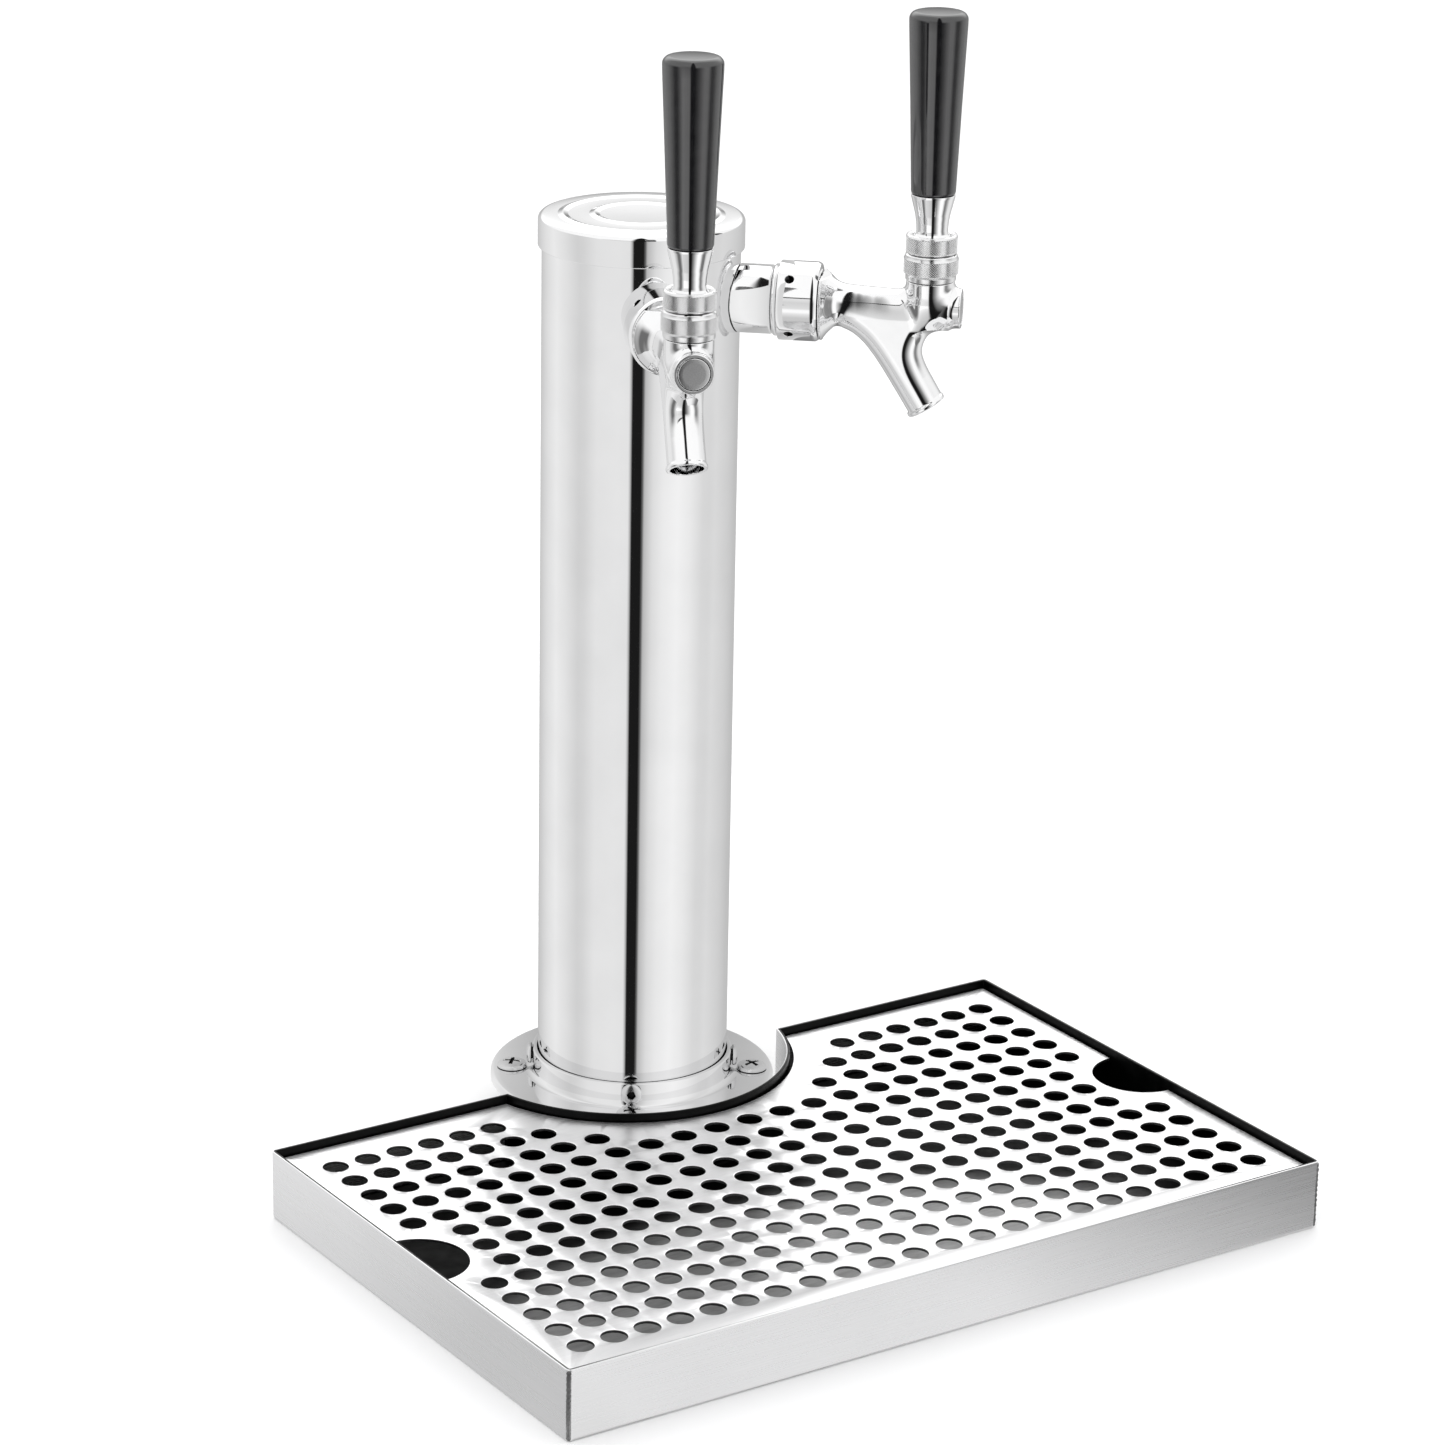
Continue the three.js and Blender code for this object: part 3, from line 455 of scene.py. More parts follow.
# ---- Materials ----
def connect(tree, made, inputs):
    """Sets a node's inputs, each to a value or to another node's output."""
    for key, value in inputs.items():
        if isinstance(value, bpy.types.NodeSocket):
            tree.links.new(value, made.inputs[key])
        else:
            made.inputs[key].default_value = value
    return made


def node(tree, kind, inputs=None, **settings):
    """A new node of a material or of the world, with its settings and inputs."""
    made = tree.nodes.new("ShaderNode" + kind)
    for key, value in settings.items():
        setattr(made, key, value)
    return connect(tree, made, inputs or {})


def nodes_of(name):
    material = bpy.data.materials.new(name)
    material.use_nodes = True
    tree = material.node_tree
    return material, tree, tree.nodes["Principled BSDF"]


def place_in(tree, kind="Object"):
    """Where a point of the surface is; nothing here moves with the camera."""
    return node(tree, "TexCoord").outputs[kind]


def noise(tree, scale, detail=3.0, stretch=(1, 1, 1)):
    """A noise texture in the piece's own coordinates, stretched along its axes."""
    mapping = node(tree, "Mapping", {"Scale": stretch, "Vector": place_in(tree)})
    inputs = {"Scale": scale, "Detail": detail, "Vector": mapping.outputs["Vector"]}
    return node(tree, "TexNoise", inputs).outputs["Fac"]


def ramp(tree, value, low, high, start=0.3, end=0.7):
    """Maps a value onto two numbers or two colours."""
    made = node(tree, "ValToRGB", {"Fac": value})
    for element, colour, position in zip(made.color_ramp.elements, (low, high), (start, end)):
        element.color = (*colour, 1) if isinstance(colour, tuple) else (colour, colour, colour, 1)
        element.position = position
    return made.outputs["Color"]


def mixed(tree, a, b, factor=1.0, blend="MULTIPLY"):
    inputs = {"Factor": factor, "A": a, "B": b}
    return node(tree, "Mix", inputs, data_type="RGBA", blend_type=blend).outputs["Result"]


def bump(tree, value, strength, distance, normal=None):
    inputs = {"Strength": strength, "Distance": distance, "Height": value}
    if normal is not None:
        inputs["Normal"] = normal
    return node(tree, "Bump", inputs).outputs["Normal"]


def metal(name, colours, roughness, waves=None, grain=None):
    """A metal whose colour and roughness vary a little, with optional waviness and grain."""
    material, tree, shader = nodes_of(name)
    tint = ramp(tree, noise(tree, 45, detail=4), *map(grey, colours))
    worn = ramp(tree, noise(tree, 160, detail=5), *roughness)
    connect(tree, shader, {"Metallic": 1.0, "Base Color": tint, "Roughness": worn})
    normal = None
    if waves:
        scale, strength, distance = waves
        normal = bump(tree, noise(tree, scale, detail=1.5), strength, distance)
    if grain:
        scale, stretch, strength, distance = grain
        normal = bump(tree, noise(tree, scale, 4, stretch), strength, distance, normal)
    if normal is not None:
        connect(tree, shader, {"Normal": normal})
    return material


def grey(value):
    """A grey with a trace of blue, as steel has."""
    return (value, value, value * 1.004)


EVEN = (1, 1, 1)
GLOSSY = (0.86, 0.9)
chrome = metal("chrome", GLOSSY, (0.03, 0.055), waves=(30, 0.05, 0.0006))
cast_chrome = metal("cast_chrome", GLOSSY, (0.035, 0.07), waves=(120, 0.08, 0.0004))
satin = metal("satin_chrome", (0.78, 0.86), (0.16, 0.28), grain=(900, EVEN, 0.1, 0.00004))
screw_steel = metal("screw_steel", (0.66, 0.8), (0.14, 0.26), grain=(700, EVEN, 0.15, 0.00005))
inner_steel = metal("inner_steel", (0.5, 0.62), (0.28, 0.42), grain=(400, EVEN, 0.1, 0.0001))
machined = metal("machined_steel", (0.58, 0.66), (0.2, 0.32), grain=(600, (6, 1, 1), 0.15, 0.00004))


def brushed(name, colours, roughness, stretch, strength):
    """Sheet steel with fine straight brush marks along one axis and faint smudges."""
    material, tree, shader = nodes_of(name)
    marks = noise(tree, 900, 3, stretch)
    smudges = ramp(tree, noise(tree, 14), 0.93, 1.0)
    broad = bump(tree, noise(tree, 9, detail=2), 0.12, 0.002)
    connect(tree, shader, {
        "Metallic": 1.0,
        "Base Color": mixed(tree, ramp(tree, marks, *map(grey, colours)), smudges, factor=0.6),
        "Roughness": ramp(tree, marks, *roughness),
        "Normal": bump(tree, marks, strength, 0.00006, broad),
    })
    return material


# Near-black metal: painted shade in the screws' drives and under their heads, and in the nut's holes and
# bore.
painted_recess_shade = metal("shadowed_recess", (0.02, 0.05), (0.35, 0.55))
# Near-black metal: painted shade on the grate's hole walls and underside.
under_grate_painted_shade = metal("grate_underside_painted_shade", (0.1, 0.2), (0.3, 0.5))
tray_steel = brushed("brushed_tray", (0.80, 0.88), (0.24, 0.36), (0.03, 0.03, 2.6), 0.12)
grate_steel = brushed("brushed_grate", (0.92, 0.98), (0.3, 0.42), (0.03, 2.6, 2.6), 0.12)


def paint_tray_inside_shade():
    """The tray's inner faces: dull steel painted dark as shade, with a painted pool of light on the floor
    towards the front middle.
    """
    material, tree, shader = nodes_of("tray_inside_painted_shade")
    oval = node(tree, "Mapping", {
        "Vector": place_in(tree), "Location": (-0.025, -0.105, 0), "Scale": (0.15, 0.095, 1),
    }, vector_type="TEXTURE")
    distance = node(tree, "VectorMath", {0: oval.outputs["Vector"]}, operation="LENGTH")
    painted_light_pool = node(tree, "MapRange", {
        "Value": distance.outputs["Value"],
        "From Min": 0.78, "From Max": 1.12, "To Min": 1.0, "To Max": 0.0,
    }, interpolation_type="SMOOTHSTEP")
    # Painted light and shade: near black outside an oval towards the front middle, lighter within it.
    painted_light_and_shade = ramp(tree, painted_light_pool.outputs["Result"], 0.012, 0.8, start=0, end=1)
    streaks = ramp(tree, noise(tree, 300, 4, (0.2, 1, 1)), 0.7, 1.0)
    connect(tree, shader, {
        "Metallic": 1.0,
        "Base Color": mixed(tree, painted_light_and_shade, streaks),
        "Roughness": ramp(tree, noise(tree, 200, detail=4), 0.3, 0.5),
    })
    return material


tray_inside_painted_shade = paint_tray_inside_shade()
seam_steel = metal("weld_seam", (0.12, 0.42), (0.4, 0.65), grain=(500, EVEN, 0.5, 0.0003))


def gloss_black():
    """Moulded black plastic with a polished skin."""
    material, tree, shader = nodes_of("black_grip")
    speck = noise(tree, 260, detail=4)
    connect(tree, shader, {
        "Base Color": ramp(tree, speck, (0.006, 0.006, 0.007), (0.012, 0.012, 0.013)),
        "Roughness": ramp(tree, noise(tree, 90), 0.05, 0.1),
        "IOR": 1.85,
        "Normal": bump(tree, noise(tree, 60, detail=2), 0.06, 0.0005),
    })
    return material


def rubber():
    material, tree, shader = nodes_of("black_rubber")
    speck = noise(tree, 500, detail=5)
    connect(tree, shader, {
        "Base Color": ramp(tree, speck, 0.01, 0.028),
        "Roughness": ramp(tree, noise(tree, 300, detail=4), 0.55, 0.8),
        "Normal": bump(tree, speck, 0.3, 0.0002),
    })
    return material


black = gloss_black()
black_rubber = rubber()


# ---- Column, cap and base, in the tower's frame ----
def height_of(name):
    low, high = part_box(name)
    return low.z / MM, high.z / MM


def radius_of(name):
    low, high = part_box(name)
    return (high.x - low.x) / 2 / MM


COLUMN_RADIUS = (tube_high.x - tube_low.x) / 2 / MM
FLANGE_LOW, COLLAR_TOP = height_of("base_flange")
CAP_LOW, CAP_TOP = height_of("top_cap")
TUBE_LOW, TUBE_TOP = height_of("column_tube")
FLANGE_TOP = TUBE_LOW - 0.3
FLANGE_RADIUS = radius_of("base_flange")
CAP_RADIUS = radius_of("top_cap")
SEGMENTS = 192
COLUMN_WALL = 1.5
BASE_BORE = 33  # the way for the beer lines through spacer and flange
FLANGE_SHEET = 1.6
GAP = 0.3  # between the column and what goes round it


def column_mesh():
    """The tube. Its shank holes aren't cut, since the adapters and washers cover them."""
    inner = COLUMN_RADIUS - COLUMN_WALL
    profile = [
        (inner, TUBE_LOW, 0.3), (COLUMN_RADIUS, TUBE_LOW, 0.3), (COLUMN_RADIUS, TUBE_TOP, 0.4),
        (inner, TUBE_TOP, 0.3),
    ]
    return lathe("column_tube", profile, "z", 256, 3)


def flange_mesh():
    """The pressed flange: its rim turned down, and a collar turned up round the column."""
    collar, seat = 40.2, COLUMN_RADIUS + GAP
    under, inside = FLANGE_TOP - FLANGE_SHEET, FLANGE_RADIUS - FLANGE_SHEET
    profile = [
        (BASE_BORE, under, 0.2), (inside, under, 0.8), (inside, FLANGE_LOW, 0.3),
        (FLANGE_RADIUS, FLANGE_LOW, 0.5), (FLANGE_RADIUS, FLANGE_TOP - 0.1, 2.3),
        (FLANGE_RADIUS - 3, FLANGE_TOP, 3), (collar, FLANGE_TOP, 2.8), (collar, COLLAR_TOP, 0.8),
        (seat, COLLAR_TOP, 0.4), (seat, FLANGE_TOP, 0.1), (BASE_BORE, FLANGE_TOP, 0.2),
    ]
    return lathe("base_flange", profile, "z", SEGMENTS)


def cap_mesh():
    """The cap, with its two embossed rings."""
    flat = CAP_TOP - 0.5
    under = flat - 0.9
    inner = COLUMN_RADIUS + GAP
    ridge = []
    for radius in (30, 18):
        ridge += [(radius + 2.0, flat, 1.2), (radius, CAP_TOP + 0.12, 1.6), (radius - 2.0, flat, 1.2)]
    profile = [
        (0, under), (inner, under, 0.5), (inner, CAP_LOW, 0.3), (CAP_RADIUS, CAP_LOW, 0.45),
        (CAP_RADIUS, flat, 2.2), *ridge, (0, flat),
    ]
    return lathe("top_cap", profile, "z", SEGMENTS)


def spacer_mesh():
    low, high = height_of("base_spacer")
    radius = radius_of("base_spacer")
    profile = [(BASE_BORE, low, 0.5), (radius, low, 1.2), (radius, high, 0.8), (BASE_BORE, high, 0.5)]
    return lathe("base_spacer", profile, "z", 128, 4)


add("column", column_mesh(), chrome, "tower", "chrome", ["column_tube"], COLUMN_FRAME)
add("flange", flange_mesh(), chrome, "tower", "chrome", ["base_flange"], COLUMN_FRAME)
add("spacer", spacer_mesh(), black_rubber, "tower", "black_rubber", ["base_spacer"], COLUMN_FRAME)
add("cap", cap_mesh(), chrome, "cap", "chrome", ["top_cap"], COLUMN_FRAME)


# ---- Screws: a domed head with its drive cut into it ----
def dome_screw(name, radius, height, length, drive):
    """A screw along z, its seat at z = 0, whose drive is sunk in the head: a cross or a hexagon."""
    shank = 2.4
    edge = height * 0.34  # where the dome meets the head's rim

    def dome(share):
        return edge + (height - edge) * sqrt(max(1 - share**2.2, 0))

    shares = np.concatenate([np.linspace(0, 0.86, 30)[1:], np.linspace(0.88, 1, 8)])
    lower = [(radius, 0.25), (radius - 0.25, 0), (shank, 0), (shank, -length + 0.8), (shank * 0.6, -length)]
    angles = full_turn(96)
    points = [(0.0, 0.0, height - drive_depth(drive, 0, 0))]
    for share in shares:
        for a in angles:
            x, y = radius * share * cos(a), radius * share * sin(a)
            points.append((x, y, dome(share) - drive_depth(drive, x, y)))
    for r, z in lower:
        points.extend((r * cos(a), r * sin(a), z) for a in angles)
    count = len(angles)
    rings = ring_numbers(count, len(shares) + len(lower), start=1)
    faces = [(0, 1 + i, 1 + (i + 1) % count) for i in range(count)]
    faces += [*walls(rings), tuple(rings[-1])]

    # The drive's recess, the underside of the head and the shank get the near-black metal: painted shade.
    def in_painted_shade(x, y, z):
        reach = hypot(x, y)
        return z < dome(reach / radius) - 0.3 and (z > edge * 0.7 or reach < radius * 0.8 or z < 0.3)

    return two_materials(mesh_of(name, points, faces, sharp=40), screw_steel, painted_recess_shade, in_painted_shade)


def drive_depth(drive, x, y):
    """How deep the drive is sunk into the head at a point."""
    if drive == "cross":
        long, narrow = 3.3, 0.62
        wall = min(max(abs(x) - long, abs(y) - narrow), max(abs(y) - long, abs(x) - narrow))
        depth = 1.9 - 0.28 * hypot(x, y)
    else:
        wall = max(abs(x * cos(a) + y * sin(a)) for a in (0, pi / 3, 2 * pi / 3)) - 1.5
        depth = 1.5
    return depth * min(max(0.5 - wall / 0.16, 0), 1)


cross_mesh = dome_screw("flange_screw", 6.0, 2.5, 19.0, "cross")
socket_mesh = dome_screw("set_screw", 4.2, 2.25, 2.2, "hexagon")
FLANGE_SCREW_REACH, SET_SCREW_REACH = 48.5, 40.6  # from the column's axis to the screws' seats
for i in range(1, 5):
    for kind, mesh in (("flange_screw", cross_mesh), ("set_screw", socket_mesh)):
        low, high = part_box(f"{kind}_{i}")
        middle = (low + high) / 2
        outward = Vector((middle.x - AXIS_X, middle.y - AXIS_Y, 0)).normalized()
        spin = atan2(outward.x, -outward.y)
        if kind == "flange_screw":
            seat = Vector((AXIS_X, AXIS_Y, (FLANGE_TOP + 0.05) * MM)) + outward * FLANGE_SCREW_REACH * MM
            place = Matrix.Translation(seat) @ Matrix.Rotation(spin + 0.35 * i, 4, "Z")
        else:
            seat = Vector((AXIS_X, AXIS_Y, middle.z)) + outward * SET_SCREW_REACH * MM
            turn = outward.to_track_quat("Z", "Y").to_matrix().to_4x4()
            place = Matrix.Translation(seat) @ turn @ Matrix.Rotation(0.4 * i, 4, "Z")
        add(f"{kind}_head_{i}", mesh, screw_steel, "tower", "screw_steel", [f"{kind}_{i}"], place)


# ---- The taps ----
STEM_BORE = 2.8


def adapter_mesh():
    """The sleeve between column and coupling nut; its back end follows the round of the column."""
    outer, inner, front = 13.2, 11.4, 51.4
    saddle = COLUMN_RADIUS + GAP
    angles = full_turn(160)
    rows = [
        (radius, np.sqrt(saddle**2 - (radius * np.cos(angles)) ** 2) + lift)
        for radius, lift in ((inner, 0.15), (outer - 0.12, 0.0), (outer, 0.15))
    ]
    rows += [
        (radius, np.full(len(angles), x)) for radius, x in (
            (outer, front - 0.9), (outer - 0.1, front - 0.45), (outer - 0.35, front - 0.15),
            (outer - 0.7, front), (inner + 0.3, front), (inner, front - 0.3),
        )
    ]
    points = np.concatenate([np.stack([x, r * np.sin(angles), r * np.cos(angles)], 1) for r, x in rows])
    rings = ring_numbers(len(angles), len(rows))
    return mesh_of("shank_adapter", points, walls(rings + rings[:1]), sharp=40)


def nut_mesh():
    """The round coupling nut, with four spanner holes drilled through its wall."""
    radius, bore, centre_x, hole = 15.2, 11.8, 58.4, 1.75
    chamfer = 0.12
    count, span = 192, 6  # points round the nut, and half the width of a hole's patch of cells
    cell = 2 * pi * radius / count
    before = [
        (10.9, 66.6), (10.9, 69.15), (11.05, 69.3), (14.25, 69.3), (14.55, 69.2), (15.05, 68.35),
        (radius, 67.95),
    ]
    plain = [(radius, x) for x in (66.5, 65, 63.5)]
    drilled = [(radius, centre_x + cell * k) for k in range(span, -span - 1, -1)]
    after = [
        (radius, 54.3), (15.13, 53.98), (14.85, 53.8), (12.0, 53.8), (bore, 54.0), (bore, 66.3),
        (11.6, 66.6),
    ]
    rows = before + plain + drilled + after
    points, faces = revolved(rows + rows[:1], "x", count)
    near = len(before) + len(plain)
    far = near + 2 * span
    middles = [count // 8 + k * count // 4 for k in range(4)]
    gone = {r * count + m + c for m in middles for r in range(near, far) for c in range(-span, span)}
    faces = [face for number, face in enumerate(faces) if number not in gone]
    steps = range(2 * span)
    for middle in middles:
        left, right = middle - span, middle + span
        rim = [(near, left + i) for i in steps] + [(near + i, right) for i in steps]
        rim += [(far, right - i) for i in steps] + [(far - i, left) for i in steps]
        offsets = np.array([((c - middle) * cell, rows[r][1] - centre_x) for r, c in rim])
        directions = offsets / np.linalg.norm(offsets, axis=1, keepdims=True)
        mouth = directions * (hole + chamfer)
        layers = [(mouth + (offsets - mouth) * share, radius) for share in (0.6, 0.25)]
        layers += [(mouth, radius), (directions * (hole + 0.03), radius - 0.08)]
        layers += [(directions * hole, radius - 0.2), (directions * hole, bore)]
        loop = [r * count + c for r, c in rim]
        for place, depth in layers:
            angles = middle * 2 * pi / count + np.arcsin(radius * np.sin(place[:, 0] / radius) / depth)
            last, loop = loop, range(len(points), len(points) + len(rim))
            points.extend(
                [centre_x + dx, depth * cos(a), depth * sin(a)] for (_, dx), a in zip(place, angles)
            )
            faces += between(last, loop)
    mesh = mesh_of("coupling_nut", points, faces, sharp=38)
    # The spanner holes' walls and the bore get the near-black metal: painted shade.
    return two_materials(mesh, chrome, painted_recess_shade, lambda x, y, z: hypot(y, z) < 14.5 and 54 < x < 68)




def collar_ring_mesh():
    """The shank's rounded ring, between the adapter and the coupling nut."""
    profile = [
        (5, 22, 0.2), (11.1, 22, 0.3), (11.1, 51.7, 0.1), (13.6, 51.7, 0.8), (13.8, 52.6, 0.5),
        (13.6, 53.5, 0.8), (11.1, 53.5, 0.1), (11.1, 60, 0.3), (5, 60, 0.2),
    ]
    return lathe("shank", profile, "x", 96, 4)


def ball_arc(radius, start, end):
    """Points of a circle about the lever's ball, between two angles."""
    return [(radius * cos(a), PIVOT_Y + radius * sin(a)) for a in np.linspace(start, end, 10)]


BONNET_DOME, COLLAR_HOLLOW = 13.6, 13.9  # radii about the lever's ball
KNURL_ROWS, KNURL_DEPTH = 6, 0.34
SLOT_HALF, SLOT_FOOT, SLOT_SLOPE = 3.0, 5.3, 1.732  # the bonnet's way for the lever at full tilt


def bonnet_mesh():
    """The knurled bonnet that holds the lever's ball, with a domed top and a slot for the lever."""
    bottom, bore = 10.9, 6.3
    before = [
        (bore, bottom + 1.0), (bore, bottom + 0.2), (6.5, bottom), (9.3, bottom), (9.55, bottom + 0.15),
        (9.6, bottom + 0.4), (9.6, 12.75), (9.68, 13.0), (10.1, 13.45), (10.35, 13.7),
    ]
    dome = ball_arc(BONNET_DOME, *(asin((y - PIVOT_Y) / BONNET_DOME) for y in (20.62, 22.9)))
    after = [
        (10.4, 19.25), (10.3, 19.45), (9.95, 20.4), *dome, (6.9, 22.6), (6.4, 21.2), (bore, 20.0),
        (bore, bottom + 1.0),
    ]
    mesh = knurled("bonnet", before, (10.45, 13.85, 19.1, KNURL_ROWS, KNURL_DEPTH), after)
    for vertex in mesh.vertices:
        x, y, z = vertex.co / MM
        if x > 0 and abs(z) < SLOT_HALF:
            vertex.co.y = min(y, SLOT_FOOT + SLOT_SLOPE * x) * MM
    return mesh


def handle_collar_mesh():
    """The knurled ring under the handle: hollow below, over the bonnet's dome, and dished on top."""
    inner = ball_arc(COLLAR_HOLLOW, *(acos(r / COLLAR_HOLLOW) for r in (STEM_BORE, 9.45)))
    before = [(STEM_BORE, 27.2), *inner, (9.7, 21.6), (9.8, 22.0)]
    after = [
        (9.78, 27.75), (9.6, 28.2), (9.3, 28.5), (8.9, 28.6), (7.7, 28.5), (7.3, 28.1), (7.15, 27.5),
        (6.9, 27.25), (STEM_BORE, 27.2),
    ]
    return knurled("handle_collar", before, (9.8, 22.25, 27.5, KNURL_ROWS, KNURL_DEPTH), after)


def ferrule_mesh():
    profile = [
        (STEM_BORE, 27.5), (6.75, 27.5, 0.3), (6.75, 28.1, 0.4), (6.2, 28.9, 1.2), (5.95, 30.0, 3),
        (6.15, 33.0, 8), (6.6, 36.0, 12), (8.35, 43.0, 1.5), (8.45, 43.9, 0.15), (STEM_BORE, 43.9),
    ]
    return lathe("handle_ferrule", profile, "y", 128, 6)


def grip_mesh():
    """The tapered grip, bored from below for the lever's stem."""
    profile = [
        (STEM_BORE, 44.2), (8.2, 44.2, 0.3), (8.5, 45.0, 0.5), (9.75, 78.0, 60), (11.0, 107.0, 6),
        (11.15, 113.0, 3.4), (0, 113.0), (0, 52.5), (STEM_BORE, 52.5, 0.1),
    ]
    points, faces = revolved(rounded([*profile, profile[0]], 10), "y", 128)
    return mesh_of("handle_grip", points, faces)


def shaft_cap_mesh():
    profile = [(0, 120.1), (5.95, 120.1, 0.1), (5.95, 123.1, 0.35), (4.2, 123.16, 1.0), (0, 123.18)]
    return lathe("shaft_cap", profile, "x", 96, 6)


FAUCET_STEP = 0.42  # the size of a cell of the distance field
parts = [
    ("adapter", adapter_mesh(), chrome, "tower", "chrome", "shank_adapter"),
    ("collar_ring", collar_ring_mesh(), chrome, "tower", "chrome", "shank"),
    ("nut", nut_mesh(), chrome, "tower", "chrome", "coupling_nut"),
    ("faucet", faucet_mesh(FAUCET_STEP), cast_chrome, "tower", "chrome", "faucet_body"),
    ("nose_cap", shaft_cap_mesh(), satin, "tower", "satin_chrome", "shaft_cap"),
    ("bonnet_ring", bonnet_mesh(), satin, "tower", "satin_chrome", "bonnet"),
    ("knurled_collar", handle_collar_mesh(), satin, "handle", "satin_chrome", "handle_collar"),
    ("ferrule", ferrule_mesh(), chrome, "handle", "chrome", "handle_ferrule"),
    ("grip", grip_mesh(), black, "handle", "black_grip", "handle_grip"),
]
UPRIGHT = ("bonnet_ring", "knurled_collar", "ferrule", "grip")
for side, place in TAPS.items():
    for name, mesh, material, body, slot, stands_for in parts:
        rides = body if body == "tower" else f"{body}_{side}"
        at = place @ Matrix.Translation((LEVER_X * MM, 0, 0)) if name in UPRIGHT else place
        add(f"{name}_{side}", mesh, material, rides, slot, [f"{stands_for}_{side}"], at)


# ---- Tray and grate, about the column's axis and square to the row frame ----
tray_low, tray_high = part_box("drip_tray")
HALF = (tray_high.x - tray_low.x) / 2 / MM
TRAY_BACK = (tray_high.y - AXIS_Y) / MM
TRAY_FRONT = (tray_low.y - AXIS_Y) / MM
TRAY_TOP = tray_high.z / MM
CUTOUT_RADIUS, CUTOUT_CENTRE, SHEET = 66.0, 6.5, 1.5
TRAY_CORNER = 1.9
GRATE_INSET, GRATE_SHEET, GRATE_CORNER, HOLE_RADIUS = 3.0, 1.2, 0.8, 5.0
NOTCH_X, NOTCH_Y, NOTCH_RADIUS = HALF - 2.5, (TRAY_BACK + TRAY_FRONT) / 2, 19.0


def corner_arc(x, y, radius, start, steps):
    """A corner's quarter turn, from an angle in degrees."""
    angles = [radians(start + 90 * k / steps) for k in range(steps + 1)]
    return [(x + radius * cos(a), y + radius * sin(a)) for a in angles]


def cutout_arc(inset, back):
    """The round bite that the tower stands in, from right to left."""
    radius = CUTOUT_RADIUS + inset
    half = asin((CUTOUT_CENTRE - back) / radius)
    angles = np.linspace(-half, -pi + half, 73)
    return [(radius * cos(a), CUTOUT_CENTRE + radius * sin(a)) for a in angles]


def pan_outline(inset, r, steps, right=(), left=()):
    """The tray's outline at a distance in from its outer faces, with corners of radius r and the
    points of a notch at each end; the count of points is the same at every distance."""
    side, front, back = HALF - inset - r, TRAY_FRONT + inset + r, TRAY_BACK - inset
    return [
        *corner_arc(-side, front, r, 180, steps), *corner_arc(side, front, r, 270, steps), *right,
        *corner_arc(side, back - r, r, 0, steps), *cutout_arc(inset, back),
        *corner_arc(-side, back - r, r, 90, steps), *left,
    ]


def swept_tray():
    """The tray's pressed sheet: outer faces, a rounded rim, inner faces and the floor."""
    wall, top = SHEET, TRAY_TOP
    levels = [  # (distance in from the outer faces, height)
        (1.6, 0.0), (0.75, 0.06), (0.25, 0.3), (0.03, 0.8), (0.0, 1.4),
        (0.0, top - 1.2), (0.0, top - 0.5), (0.07, top - 0.2), (0.25, top - 0.04), (0.45, top),
        (wall - 0.45, top), (wall - 0.25, top - 0.04), (wall - 0.07, top - 0.2), (wall, top - 0.5),
        (wall, SHEET + 1.6), (wall + 0.15, SHEET + 0.8), (wall + 0.6, SHEET + 0.2), (wall + 1.3, SHEET),
    ]
    points = []
    for inset, z in levels:
        outline = pan_outline(inset, max(TRAY_CORNER - inset, 0.05), 6)
        points += [(x, y, z) for x, y in outline]
    rings = ring_numbers(len(outline), len(levels))
    faces = [*walls(rings), tuple(reversed(rings[0])), tuple(rings[-1])]

    # The inner faces, which get the tray material with painted shade and a painted pool of light.
    def gets_painted_shade(x, y, z):
        inset = min(HALF - abs(x), y - TRAY_FRONT, TRAY_BACK - y)
        inset = min(inset, hypot(x, y - CUTOUT_CENTRE) - CUTOUT_RADIUS)
        return z > 1.0 and inset > (1.2 if z < top - 0.6 else 0.7)

    return two_materials(mesh_of("drip_tray", points, faces, sharp=30), tray_steel, tray_inside_painted_shade, gets_painted_shade)


def hole_centres():
    """The grate's holes, in 13 rows, less those near the cut-out and the notches."""
    columns = [7.7 + 15.3 * min(i, 4) + 14 * (i - min(i, 4)) for i in range(11)]
    found = []
    for row in range(13):
        y = -29.8 - 14.82 * row
        for column in columns:
            for x in (-column, column):
                clear = hypot(x, y - CUTOUT_CENTRE) > CUTOUT_RADIUS + 13.5
                if clear and hypot(column - NOTCH_X, y - NOTCH_Y) > 28:
                    found.append((x, y))
    return found


def grate_outline(inset):
    """The grate's outline, with a finger notch in the middle of each end."""
    radius = NOTCH_RADIUS + inset - GRATE_INSET
    reach = acos((HALF - inset - NOTCH_X) / radius)
    notch = [
        (NOTCH_X + radius * cos(a), NOTCH_Y + radius * sin(a))
        for a in np.linspace(-reach, -(2 * pi - reach), 29)
    ]
    return pan_outline(inset, GRATE_CORNER, 4, notch, [(-x, y) for x, y in notch[::-1]])


